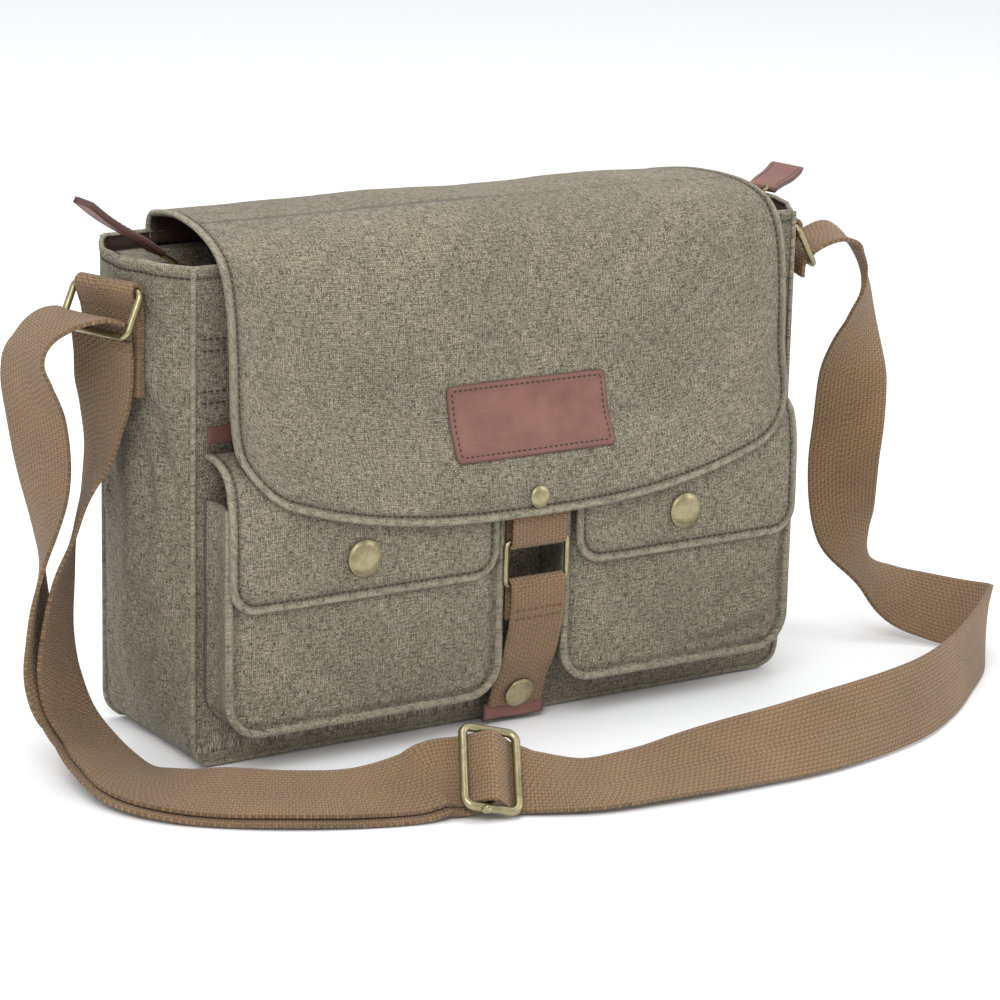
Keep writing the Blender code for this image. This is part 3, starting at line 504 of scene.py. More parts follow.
def turned(name, profile, place, kind, steps=40):
    """A round piece from a profile of (radius, height) down its outer side."""
    mesh = bpy.data.meshes.new(name)
    shape = bmesh.new()
    rings = []
    for radius, height in profile:
        if radius < 1e-7:
            rings.append([shape.verts.new(place @ Vector((0, 0, height)))])
            continue
        rings.append([shape.verts.new(place @ Vector((radius * math.cos(a), radius * math.sin(a), height)))
                      for a in (2 * math.pi * k / steps for k in range(steps))])
    for upper, lower in zip(rings, rings[1:]):
        for k in range(steps):
            n = (k + 1) % steps
            corners = [upper[k % len(upper)], lower[k % len(lower)]]
            corners += [lower[n % len(lower)], upper[n % len(upper)]]
            shape.faces.new(list(dict.fromkeys(corners))).smooth = True
    bmesh.ops.recalc_face_normals(shape, faces=shape.faces[:])
    shape.to_mesh(mesh)
    shape.free()
    mesh.materials.append(MATERIALS[kind])
    return add_mesh(name, mesh)


def facing(point, normal):
    """A place at a point with its Z axis along a normal."""
    return Matrix.Translation(point) @ Vector(normal).to_track_quat("Z", "Y").to_matrix().to_4x4()


STITCH_SINK = 0.02 * MM


def stitches(name, lines, kind="thread", length=2.5 * MM, pitch=3.3 * MM, radius=0.46 * MM):
    """Thread stitches along lines of (point, outward normal): each is a small spindle half sunk in the cloth."""
    mesh = bpy.data.meshes.new(name)
    shape = bmesh.new()
    for line in lines:
        reach = [0.0]
        for (a, _), (b, _) in zip(line, line[1:]):
            reach.append(reach[-1] + (Vector(b) - Vector(a)).length)
        count = max(1, int(reach[-1] / pitch))
        gap = reach[-1] / count
        i = 0
        for k in range(count):
            spot = gap * (k + 0.5)
            while i < len(reach) - 2 and reach[i + 1] < spot:
                i += 1
            share = (spot - reach[i]) / max(reach[i + 1] - reach[i], 1e-9)
            start, end = Vector(line[i][0]), Vector(line[i + 1][0])
            middle = start.lerp(end, share)
            run = (end - start).normalized()
            out = Vector(line[i][1]).lerp(Vector(line[i + 1][1]), share).normalized()
            side = run.cross(out).normalized()
            middle = middle + out * (radius * 0.35 - STITCH_SINK)
            ends = [middle + run * s * length / 2 - out * radius * 0.7 for s in (-1, 1)]
            rings = []
            for s in (-0.62, 0.62):
                centre = middle + run * s * length / 2
                rings.append([shape.verts.new(centre + (side * math.cos(a) + out * math.sin(a)) * radius)
                              for a in (math.pi * q / 3 for q in range(6))])
            tips = [shape.verts.new(point) for point in ends]
            for q in range(6):
                n = (q + 1) % 6
                for face in ((rings[0][q], rings[0][n], rings[1][n], rings[1][q]),
                             (tips[0], rings[0][n], rings[0][q]), (tips[1], rings[1][q], rings[1][n])):
                    shape.faces.new(face).smooth = True
    bmesh.ops.recalc_face_normals(shape, faces=shape.faces[:])
    shape.to_mesh(mesh)
    shape.free()
    mesh.materials.append(MATERIALS[kind])
    return add_mesh(name, mesh)


def smooth_line(points, steps):
    """Points on a Catmull-Rom curve through the given tuples."""
    line = []
    last = len(points) - 1
    for i in range(last):
        p0, p1, p2, p3 = (Vector(points[max(0, min(last, k))]) for k in (i - 1, i, i + 1, i + 2))
        for step in range(steps):
            t = step / steps
            line.append(0.5 * ((2 * p1) + (p2 - p0) * t + (2 * p0 - 5 * p1 + 4 * p2 - p3) * t ** 2
                               + (3 * p1 - p0 - 3 * p2 + p3) * t ** 3))
    line.append(Vector(points[last]))
    return line


class Path:
    """A side-view line of (y, z) points that can be walked by distance."""

    def __init__(self, points, steps=12):
        self.points = smooth_line(points, steps)
        self.reach = [0.0]
        for a, b in zip(self.points, self.points[1:]):
            self.reach.append(self.reach[-1] + (b - a).length)
        self.length = self.reach[-1]
        self.steps = steps

    def at(self, distance):
        distance = max(0.0, min(self.length, distance))
        low, high = 0, len(self.reach) - 2
        while low < high:
            middle = (low + high + 1) // 2
            if self.reach[middle] <= distance:
                low = middle
            else:
                high = middle - 1
        share = (distance - self.reach[low]) / (self.reach[low + 1] - self.reach[low])
        return self.points[low].lerp(self.points[low + 1], share)

    def outward(self, distance):
        ahead = (self.at(distance + 0.001) - self.at(distance - 0.001)).normalized()
        return Vector((ahead[1], -ahead[0]))

    def distance_at_z(self, z):
        tries = [self.length * k / 400 for k in range(401)]
        return min(reversed(tries), key=lambda s: abs(self.at(s)[1] - z))


def arc(centre, radius, start, end, count):
    """Points on an arc from one angle to another, in radians."""
    angles = [start + (end - start) * k / count for k in range(count + 1)]
    return [(centre[0] + radius * math.cos(a), centre[1] + radius * math.sin(a)) for a in angles]


def rounded_loop(half_x, half_y, corner, steps, middle=(0.0, 0.0)):
    """A rectangle with round corners, anticlockwise from the right end of its first corner."""
    line = []
    for x_side, y_side, start in ((1, 1, 0), (-1, 1, 90), (-1, -1, 180), (1, -1, 270)):
        centre = (middle[0] + x_side * (half_x - corner), middle[1] + y_side * (half_y - corner))
        line += arc(centre, corner, math.radians(start), math.radians(start + 90), steps)
    return line


def smooth_share(value):
    """0 to 1 with a slow start and end; values outside are cut off."""
    value = max(0.0, min(1.0, value))
    return value * value * (3 - 2 * value)


def profile_height(table, value):
    """A height read between the entries of a short table of (distance, height)."""
    if value <= table[0][0]:
        return table[0][1]
    for (a, low), (b, high) in zip(table, table[1:]):
        if value <= b:
            return low + (high - low) * smooth_share((value - a) / (b - a))
    return table[-1][1]


def cloudy(x, y, size, seed=0.0):
    """Soft noise from -1 to 1 with features about size metres across."""
    return noise.noise(Vector((x / size, y / size, seed)))


def crease(x, y, start, end, width):
    """1 on the line from start to end, falling to 0 over width and towards both ends."""
    a, b, p = Vector(start), Vector(end), Vector((x, y))
    run = b - a
    share = max(0.0, min(1.0, (p - a).dot(run) / run.length_squared))
    away = (p - a - run * share).length / width
    return math.exp(-away * away) * math.sin(math.pi * (0.08 + 0.84 * share))


def spaced(low, high, edge_steps, step):
    """Values from low to high, close together near both ends and step apart between."""
    near = [low + sum(edge_steps[:k]) for k in range(len(edge_steps) + 1)]
    far = [high - sum(edge_steps[:k]) for k in range(len(edge_steps) + 1)]
    inner_low, inner_high = near[-1], far[-1]
    count = max(1, round((inner_high - inner_low) / step))
    inner = [inner_low + (inner_high - inner_low) * k / count for k in range(1, count)]
    return near + inner + far[::-1]


EDGE_STEPS = [0.7 * MM, 0.8 * MM, 0.9 * MM, 1.0 * MM, 0.8 * MM, 0.8 * MM, 1.2 * MM, 2.0 * MM]
# A hem's height over the cloth: millimetres from the edge, millimetres of height
HEM = ((0.0, -0.95), (0.7, -0.25), (1.6, 0.35), (2.8, 0.55), (3.8, 0.20), (4.6, -0.75), (5.6, -0.05),
       (8.0, 0.0))


def hem_height(edge):
    """The raised, rounded hem along a cloth's edge, with a groove where it is stitched."""
    return profile_height(HEM, edge / MM) * MM


def hem_wear(edge):
    """Paler on the hem's ridge and edge, where it rubs."""
    return 1.25 * max(0.0, 1.0 - abs(edge / MM - 1.4) / 2.8)


def hem_groove_shade(edge):
    """Painted shade: darker in the stitched groove."""
    return 1.1 * math.exp(-((edge / MM - 4.7) / 1.1) ** 2)


# ---------------------------------------------------------------- the body
def half_width(z):
    """Half the body's width at a height, less where its low edge is round."""
    low = max(SIDE_RADIUS - z, 0.0)
    return HALF_WIDTH - SIDE_RADIUS + math.sqrt(max(SIDE_RADIUS ** 2 - low ** 2, 0.0))


def half_depth(z):
    """Half the body's depth at a height, less where its low edge is round."""
    low = max(FRONT_RADIUS - z, 0.0)
    return BACK_Y - FRONT_RADIUS + math.sqrt(max(FRONT_RADIUS ** 2 - low ** 2, 0.0))


def gusset_bulge(z):
    """How far a gusset swells out at a height."""
    return GUSSET_BULGE * (0.35 + 0.65 * z / RIM_Z) * smooth_share(z / 0.050)


def wall_heights():
    """Heights up a wall, close together at the rim's hem."""
    edge = [step * MM for step in (0.6, 0.8, 1.0, 1.2, 1.2, 1.2, 1.4, 1.6, 2.0, 2.4)]
    top = [RIM_Z - sum(edge[:k]) for k in range(len(edge) + 1)][::-1]
    count = 62
    middle = [LOW_WALL_Z + (top[0] - LOW_WALL_Z) * k / count for k in range(count)]
    return middle + top


RIM_HEM = ((0.0, -1.1), (0.6, -0.3), (1.6, 0.35), (4.5, 0.35), (5.6, -0.25), (6.2, -0.35), (7.0, 0.25),
           (10.5, 0.3), (12.0, -0.05), (13.0, 0.0))


def wall_rows(half_size, radius, point):
    """Rows from under the bottom edge, round the corner, and up to the rim. point(offset, z) gives a row."""
    rows = []
    turns = 9
    for k in range(turns + 1):
        angle = -math.pi / 2 * (1 - k / turns)
        rows.append(point(half_size - radius + radius * math.cos(angle), radius + radius * math.sin(angle)))
    for z in wall_heights():
        rows.append(point(half_size, z))
    return rows


def rim_wear(z):
    """Paler along the rim."""
    return max(0.0, 1.0 - (RIM_Z - z) / (2.5 * MM)) * 0.9


BACK_SWELL = 5.4 * MM


def make_front_and_back():
    """The front and back cloths, a little puffed, with a hem at the rim."""
    columns = spaced(-1.0, 1.0, [0.010, 0.015, 0.020, 0.025], 0.022)
    for name, side, node in (("front_cloth", -1, "front_panel"), ("back_cloth", 1, "back_panel")):
        heights = []

        def point(depth, z, side=side, heights=heights):
            row = []
            heights.append(z)
            for u in columns:
                x = u * half_width(z)
                puff = (1 - u ** 4) * math.sin(math.pi * min(1.0, z / RIM_Z)) ** 0.7
                push = puff * (1.2 if side < 0 else 4.5) * MM
                push += 0.8 * MM * cloudy(x, z, 0.055, side * 3.0) + 0.3 * MM * cloudy(x, z, 0.018, side)
                push += profile_height(RIM_HEM, (RIM_Z - z) / MM) * MM
                if side > 0:
                    push += BACK_SWELL * smooth_share((z - 0.19) / 0.05) * math.exp(-((x + 0.04) / 0.11) ** 2)
                row.append((x, side * (depth + push), z))
            return row

        rows = wall_rows(BACK_Y, FRONT_RADIUS, point)
        # The dark mask is painted shade in the rim hem's stitched groove; the pale one is wear at the rim and bottom
        # edge
        piece = sheet(name, rows, BODY_CLOTH, "canvas", inner="lining", front=(0, side, 0),
                      wear=lambda i, j, h=heights: rim_wear(h[i]) + 0.5 * max(0.0, 1 - h[i] / 0.006),
                      soil=lambda i, j, h=heights: hem_groove_shade(RIM_Z - h[i] - 1.3 * MM))
        keep(piece, "canvas", "root", [node])


# Creases as start, end (y, z), width, and depth in millimetres
GUSSET_CREASES = (
    ((-0.020, 0.172), (-0.038, 0.128), 0.0045, -2.0), ((0.014, 0.170), (0.034, 0.096), 0.0045, 2.0),
    ((-0.030, 0.150), (-0.020, 0.070), 0.0050, 1.6), ((0.000, 0.100), (0.014, 0.020), 0.0060, 1.6),
    ((-0.040, 0.090), (-0.026, 0.030), 0.0045, -1.6), ((0.026, 0.070), (0.038, 0.022), 0.0045, 1.5),
    ((-0.010, 0.200), (0.030, 0.188), 0.0045, -1.2), ((-0.038, 0.215), (-0.020, 0.180), 0.0050, 1.4),
    ((0.004, 0.178), (0.030, 0.120), 0.006, -1.6), ((-0.012, 0.176), (-0.026, 0.105), 0.006, -1.4),
    ((0.010, 0.180), (0.038, 0.152), 0.005, -1.2), ((-0.016, 0.182), (-0.040, 0.150), 0.005, -1.0),
    ((-0.006, 0.172), (-0.004, 0.060), 0.009, 1.2), ((0.016, 0.150), (0.020, 0.050), 0.008, -1.1),
    ((-0.024, 0.120), (-0.012, 0.030), 0.007, -0.9), ((0.030, 0.110), (0.036, 0.040), 0.006, -0.8),
    ((-0.020, 0.226), (-0.036, 0.196), 0.005, -1.0), ((0.022, 0.228), (0.038, 0.200), 0.005, -1.1),
    ((-0.002, 0.040), (0.030, 0.016), 0.006, -0.9), ((-0.030, 0.050), (-0.008, 0.018), 0.006, 0.8))


def gusset_push(y, z, seed):
    """Wrinkles and hem of a gusset, outwards."""
    push = 2.4 * cloudy(y, z, 0.034, seed) + 1.0 * cloudy(y, z, 0.014, seed + 4.0)
    push += 0.9 * cloudy(y * 2.2, z * 0.7, 0.016, seed + 8.0)
    for start, end, width, deep in GUSSET_CREASES:
        push += 1.7 * deep * crease(y, z, start, end, width)
    fade = max(0.0, 1 - (abs(y) / BACK_Y) ** 6) * smooth_share(z / 0.012)
    return push * fade * MM + profile_height(RIM_HEM, (RIM_Z - z) / MM) * MM


def make_gussets():
    """The two side cloths, swelling out and creased."""
    columns = spaced(-1.0, 1.0, [0.02, 0.03, 0.04], 0.045)
    for node, side in (("left_gusset", -1), ("right_gusset", 1)):
        name = node + "_cloth"
        heights = []

        def point(reach, z, side=side, heights=heights):
            row = []
            heights.append(z)
            for u in columns:
                y = u * (half_depth(z) - 0.4 * MM)
                swell = gusset_bulge(z) * (1 - (y / BACK_Y) ** 2)
                row.append((side * (reach + swell + gusset_push(y, z, side * 2.0)), y, z))
            return row

        rows = wall_rows(HALF_WIDTH, SIDE_RADIUS, point)
        # The dark mask is painted shade in the rim hem's stitched groove; the pale one is wear at the rim and bottom
        # edge
        piece = sheet(name, rows, BODY_CLOTH, "canvas", inner="lining", front=(side, 0, 0),
                      wear=lambda i, j, h=heights: rim_wear(h[i]) + 0.5 * max(0.0, 1 - h[i] / 0.008),
                      soil=lambda i, j, h=heights: hem_groove_shade(RIM_Z - h[i] - 1.3 * MM))
        keep(piece, "canvas", "root", [node])


def seam_line(side, lift):
    """Down one body corner, along the bottom edge, and up the other corner."""
    points = []
    heights = [RIM_Z - 1 * MM - (RIM_Z - LOW_WALL_Z) * k / 30 for k in range(30)]
    turns = 8
    low = [SIDE_RADIUS + SIDE_RADIUS * math.sin(-math.pi / 2 * k / turns) for k in range(turns + 1)]
    for z in heights + [z for z in low if z < heights[-1]]:
        y = side * (half_depth(max(z, 2 * MM)) + lift * 0.3)
        points.append((-half_width(z) - lift * 0.5, y, max(z, 1.6 * MM)))
    mirrored = [(-x, y, z) for x, y, z in reversed(points)]
    inner = [(x / 12 * (HALF_WIDTH - SIDE_RADIUS), points[-1][1], points[-1][2]) for x in range(-11, 12)]
    return points + inner + mirrored


def make_seams_and_bottom():
    """The two welted seams round the body, and the bottom cloth."""
    for name, side in (("front_seam_welt", -1), ("back_seam_welt", 1)):
        welt = as_mesh(wire(name, seam_line(side, 0.8 * MM), 1.35 * MM, "canvas"))
        keep(welt, "canvas", "root")
    low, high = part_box("bottom_panel")
    xs = [low.x + (high.x - low.x) * k / 60 for k in range(61)]
    ys = [low.y + (high.y - low.y) * k / 16 for k in range(17)]
    rows = [[(x, y, 0.0004 + 0.0003 * cloudy(x, y, 0.04)) for x in xs] for y in ys]
    bottom = sheet("bottom_cloth", rows, 1.6 * MM, "canvas", front=(0, 0, -1))
    keep(bottom, "canvas", "root", ["bottom_panel"])


def make_lining():
    """The dark inner bag: a rounded box of thin cloth, open at the mouth, a little slack."""
    low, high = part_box("lining")
    corner = 0.014
    rows = []
    # Up to 1 a level is a share of the round corner's height, and from 1 to 16 it goes up the straight wall
    levels = [0.0, 0.3, 0.55, 0.8, 1.0, 1.6, 2.6, 4.0, 6.0, 8.0, 10.0, 12.0, 14.0, 16.0]
    for level in levels:
        wall = max(0.0, level - 1.0) / (levels[-1] - 1.0)
        z = low.z + corner * min(level, 1.0) + (high.z - low.z - corner) * wall
        inset = corner * (1 - math.sqrt(max(0.0, 1 - (1 - min(level, 1.0)) ** 2)))
        row = []
        for x_side, y_side, start in ((1, 1, 0), (-1, 1, 90), (-1, -1, 180), (1, -1, 270)):
            centre = (x_side * (high.x - corner), y_side * (high.y - corner))
            for x, y in arc(centre, corner - inset * 0.5, math.radians(start), math.radians(start + 90), 5):
                sag = 1.0 * MM * cloudy(x + y, z, 0.03, 2.0)
                row.append((x * (1 - inset / high.x) + sag * 0.3, y * (1 - inset / high.y) + sag * 0.3, z))
        row.append(row[0])
        rows.append(row)
    rows.insert(0, [(x * 0.02, y * 0.02, low.z) for x, y, _ in rows[0]])
    piece = sheet("lining_cloth_bag", rows, 0.7 * MM, "lining")
    keep(piece, "lining", "root", ["lining"])


# ---------------------------------------------------------------- pockets
def pocket_outline(low, high, radius, top):
    """A U from the top left corner down, along the bottom and up to the top right."""
    steps = 26
    left = [(low.x, top - (top - low.z - radius) * k / steps) for k in range(steps)]
    turn_left = arc((low.x + radius, low.z + radius), radius, math.pi, 1.5 * math.pi, 8)
    bottom = [(low.x + radius + (high.x - low.x - 2 * radius) * k / 40, low.z) for k in range(1, 40)]
    turn_right = arc((high.x - radius, low.z + radius), radius, 1.5 * math.pi, 2 * math.pi, 8)
    right = [(high.x, low.z + radius + (top - low.z - radius) * k / steps) for k in range(1, steps + 1)]
    return left + turn_left + bottom + turn_right + right


def pocket_puff(u, v):
    """How far the pocket's front stands out, for u across and v up from 0 to 1."""
    crown = (1 - u ** 4) * math.sin(math.pi * min(1.0, 0.12 + v)) ** 0.8 if v < 0.88 else 0.0
    return 3.2 * MM * crown


def make_pocket(side):
    """One box pocket: pleated walls, a puffed front and piping round it."""
    low, high = POCKET_BOXES[side]
    radius = 0.017
    sign = -1 if side == "left" else 1
    outline = pocket_outline(low, high, radius, high.z)
    depth = low.y - FRONT_Y
    rows = []
    for k in range(9):
        t = k / 8
        fold = -1.6 * MM * math.sin(math.pi * t) + 0.5 * MM * math.sin(3 * math.pi * t)
        row = []
        for x, z in outline:
            centre_x = (low.x + high.x) / 2
            out = 1 if x > centre_x else -1
            at_side = min(1.0, (abs(x - centre_x) / ((high.x - low.x) / 2)) ** 8)
            at_bottom = (1 - at_side) * (1 if z < low.z + radius else 0)
            shift = fold + 0.7 * MM * cloudy(x * 2, z + t * 0.02, 0.02, sign)
            row.append((x + out * shift * at_side, FRONT_Y + 0.5 * MM + (depth - 0.5 * MM) * t,
                        z - shift * at_bottom))
        rows.append(row)
    # The walls get painted shade, darkest in the middle where they fold in
    walls = sheet(side + "_pocket_walls", rows, POCKET_WALL_CLOTH, "canvas", offset=0.0,
                  soil=lambda i, j: 0.35 * (1 - abs(i - 4) / 4))
    keep(walls, "canvas", "root", [side + "_pocket"])

    zs = spaced(low.z, high.z, [0.5 * MM, 0.6 * MM, 0.8 * MM, 1.2 * MM, 1.6 * MM, 2.0 * MM], 2.6 * MM)
    us = spaced(-1.0, 1.0, [0.008, 0.012, 0.016, 0.024, 0.03], 0.036)
    rows = []
    for z in zs:
        gap = max(0.0, low.z + radius - z)
        pull = radius - math.sqrt(max(radius ** 2 - gap ** 2, 0.0))
        x_low, x_high = low.x + pull, high.x - pull
        v = (z - low.z) / (high.z - low.z)
        row = []
        for u in us:
            x = (x_low + x_high) / 2 + u * (x_high - x_low) / 2
            edge = min(x - x_low, x_high - x, z - low.z + 1.5 * MM)
            dip = -0.9 * MM * math.exp(-((edge / MM - 4.2) / 1.4) ** 2)
            push = pocket_puff(u, v) + dip
            push += 0.9 * MM * cloudy(x, z, 0.030, 5 * sign) + 0.35 * MM * cloudy(x, z, 0.011, sign)
            for start, end, width, deep in POCKET_CREASES[side]:
                push += 1.9 * deep * MM * crease((x - low.x) / (high.x - low.x), v, start, end, width)
            row.append((x, low.y - push, z))
        rows.append(row)
    # The paler outer rows are wear; the dark rows and columns are painted shade along the stitched groove inside the
    # edge
    front = sheet(side + "_pocket_front", rows, POCKET_FRONT_CLOTH, "canvas", front=(0, -1, 0),
                  wear=lambda i, j: 0.5 if min(j, len(us) - 1 - j, i) < 2 else 0.0,
                  soil=lambda i, j: 0.5 if 3 <= min(j, len(us) - 1 - j) <= 4 or 4 <= i <= 5 else 0.0)
    keep(front, "canvas", "root")
    line = [(x, low.y - 0.6 * MM, z) for x, z in outline]
    piping = as_mesh(wire(side + "_pocket_piping", line, 1.9 * MM, "canvas"))
    keep(piping, "canvas", "root")


# Creases as start, end (shares of the pocket's width and height), width, and depth
POCKET_CREASES = {
    "left": (((0.05, 0.25), (0.30, 0.06), 0.035, 1.0), ((0.10, 0.40), (0.42, 0.16), 0.030, -0.7),
             ((0.62, 0.10), (0.90, 0.32), 0.035, 0.9), ((0.30, 0.55), (0.75, 0.50), 0.05, -0.5)),
    "right": (((0.60, 0.12), (0.95, 0.22), 0.030, 1.5), ((0.50, 0.06), (0.88, 0.13), 0.022, -1.2),
              ((0.66, 0.24), (0.97, 0.36), 0.028, -1.1), ((0.05, 0.30), (0.25, 0.08), 0.035, 0.8),
              ((0.35, 0.50), (0.70, 0.42), 0.05, 0.6)),
}


class Drape:
    """A flap of cloth over a side-view path, with a shaped lower edge."""

    def __init__(self, path, start, end, low_x, high_x, corner, rise, lift, narrow=0.0, seed=0.0, sway=1.0):
        self.path, self.start, self.end = path, start, end
        self.middle, self.half = (low_x + high_x) / 2, (high_x - low_x) / 2
        self.corner, self.rise, self.lift = corner, rise, lift
        self.narrow, self.seed, self.sway = narrow, seed, sway

    @staticmethod
    def slack(s):
        """Cloth wrinkles most where it bends over the rim."""
        return math.exp(-((s - 0.118) / 0.030) ** 2)

    def last(self, x, inset=0.0):
        """Where the cloth ends below x, or the line at an inset from that edge."""
        away = abs(x - self.middle)
        lost = self.rise * (away / self.half) ** 2.6
        past = away - (self.half - self.corner)
        radius = self.corner - inset
        if past > 0:
            lost += radius - math.sqrt(max(radius ** 2 - past ** 2, 0.0))
        return self.end - inset - lost

    def edge(self, x, s):
        """The distance from the nearest edge."""
        away = abs(x - self.middle)
        past = away - (self.half - self.corner)
        side = self.half - away
        lost = self.rise * (away / self.half) ** 2.6
        centre = self.end - lost - self.corner
        if past > 0 and s > centre:
            return self.corner - math.hypot(past, s - centre)
        return min(side, self.end - lost - s)

    def point(self, x, s):
        """The outer surface's place at x, a distance s down the path."""
        edge = self.edge(x, s)
        calm = smooth_share(edge / (12 * MM))
        push = self.lift + hem_height(edge)
        push += self.sway * calm * (1.0 * cloudy(x, s, 0.070, self.seed)
                                    + 0.45 * cloudy(x, s, 0.026, self.seed + 3)
                                    + 0.18 * cloudy(x, s, 0.010, self.seed + 7)) * MM
        push += self.sway * 1.4 * MM * cloudy(x, s, 0.12, self.seed + 11)
        push += self.sway * calm * 0.8 * MM * cloudy(x * 0.6, s * 2.4, 0.030, self.seed + 15) * self.slack(s)
        y, z = self.path.at(s) + self.path.outward(s) * push
        shrink = 1.0 - self.narrow * smooth_share(1.0 - s / 0.11)
        return (self.middle + (x - self.middle) * shrink, y, z)

    def rows(self, start=None, end=None, step=2.6 * MM):
        """Rows of points from start down to end, or to the shaped edge, where they are close together."""
        xs = spaced(self.middle - self.half, self.middle + self.half, EDGE_STEPS, step)
        start = self.start if start is None else start
        grid = []
        reach = (self.end if end is None else end) - start
        if end is None:
            tail = [sum(EDGE_STEPS[:k]) for k in range(len(EDGE_STEPS) + 1)]
            count = round((reach - tail[-1]) / step)
            stations = [(reach - tail[-1]) * k / count for k in range(count)]
            stations += [reach - t for t in reversed(tail)]
        else:
            count = round(reach / step)
            stations = [reach * k / count for k in range(count + 1)]
        self.table = []
        for station in stations:
            row, marks = [], []
            for x in xs:
                if end is None:
                    lost = self.end - self.last(x)
                    from_end = reach - station
                    near = sum(EDGE_STEPS)
                    if from_end <= near:
                        s = self.end - lost - from_end
                    else:
                        s = start + (self.end - lost - near - start) * station / (reach - near)
                else:
                    s = start + station
                row.append(self.point(x, s))
                marks.append(self.edge(x, s))
            grid.append(row)
            self.table.append(marks)
        return grid

    def wear(self, i, j):
        return hem_wear(self.table[i][j])

    # Painted shade in the hem's stitched groove
    def soil(self, i, j):
        return hem_groove_shade(self.table[i][j])

    def stitch_line(self, inset, start=None):
        """(point, normal) along the line that is inset from the sides and lower edge."""
        start = self.start if start is None else start
        low_x, high_x = self.middle - self.half + inset, self.middle + self.half - inset
        marks = [(low_x, s) for s in self.steps(start, self.last(low_x, inset))]
        near = [0.4 * MM, 0.6 * MM, 1 * MM, 1 * MM]
        marks += [(x, self.last(x, inset)) for x in spaced(low_x, high_x, near, 2 * MM)]
        marks += [(high_x, s) for s in reversed(self.steps(start, self.last(high_x, inset)))]
        line = []
        for x, s in marks:
            y, z = self.path.outward(s)
            line.append((self.point(x, s), (0.0, y, z)))
        return line

    @staticmethod
    def steps(start, end):
        count = max(2, round((end - start) / (2 * MM)))
        return [start + (end - start) * k / count for k in range(count)]


POCKET_FLAP_PATH = Path([
    (FRONT_Y - 0.0016, POCKET_TOP_Z + 0.0212), (FRONT_Y - 0.010, POCKET_TOP_Z + 0.0205),
    (POCKET_FRONT_Y + 0.005, POCKET_TOP_Z + 0.0172), (POCKET_FRONT_Y - 0.0005, POCKET_TOP_Z + 0.0110),
    (POCKET_FRONT_Y - 0.0033, POCKET_TOP_Z - 0.002), (POCKET_FRONT_Y - 0.0040, POCKET_TOP_Z - 0.017),
    (POCKET_FRONT_Y - 0.0043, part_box("left_pocket_flap")[0].z)])


def make_pocket_flap(side):
    """One pocket's flap with its stitches, shaped from the body down over the pocket."""
    low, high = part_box(side + "_pocket_flap")
    drape = Drape(POCKET_FLAP_PATH, 0.0, POCKET_FLAP_PATH.length, low.x, high.x, 0.015, 0.0, 1.0 * MM,
                  seed=2.0 if side == "left" else 6.0, sway=0.7)
    flap = sheet(side + "_pocket_flap_cloth", drape.rows(step=2.4 * MM), POCKET_FLAP_CLOTH, "canvas", wear=drape.wear,
                 soil=drape.soil, front=(0, -1, 0.1))
    thread = stitches(side + "_pocket_flap_stitches", [drape.stitch_line(POCKET_FLAP_STITCH_INSET, 0.01)])
    keep(flap, "canvas")
    keep(thread, "thread")
    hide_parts(side + "_pocket_flap", side + "_pocket_flap_top")
    _, y, z = JOINTS[side + "_pocket_flap_hinge"]["pos_m"]
    for piece in (flap, thread):
        apply_modifiers(piece)
        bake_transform(piece)


# ---------------------------------------------------------------- the flap
FLAP_TIP_Z = FLAP_LOW.z
FLAP_PATH = Path([
    (BACK_Y + 0.0017, RIM_Z - 0.008), (BACK_Y + 0.0017, RIM_Z + 0.001), (BACK_Y - 0.0012, RIM_Z + 0.0068),
    (BACK_Y - 0.008, RIM_Z + 0.0092), (0.010, RIM_Z + 0.0132), (-0.018, RIM_Z + 0.0128),
    (FRONT_Y + 0.010, RIM_Z + 0.0092), (FRONT_Y - 0.001, RIM_Z + 0.0035), (FRONT_Y - 0.0080, RIM_Z - 0.006),
    (FRONT_Y - 0.012, RIM_Z - 0.020), (FRONT_Y - 0.0145, RIM_Z - 0.042), (FRONT_Y - 0.016, RIM_Z - 0.067),
    (FRONT_Y - 0.020, POCKET_TOP_Z + 0.026), (POCKET_FRONT_Y - 0.0010, POCKET_TOP_Z + 0.017),
    (POCKET_FRONT_Y - 0.0047, POCKET_TOP_Z + 0.009), (POCKET_FRONT_Y - 0.0072, POCKET_TOP_Z - 0.002),
    (POCKET_FRONT_Y - 0.0085, POCKET_TOP_Z - 0.014), (POCKET_FRONT_Y - 0.0095, FLAP_TIP_Z)])
FLAP = Drape(FLAP_PATH, 0.0, FLAP_PATH.length, FLAP_LOW.x, FLAP_HIGH.x, 0.026, 0.029, 1.2 * MM, narrow=0.085,
             seed=9.0)
FLAP_SPLIT = FLAP_PATH.reach[5 * FLAP_PATH.steps]


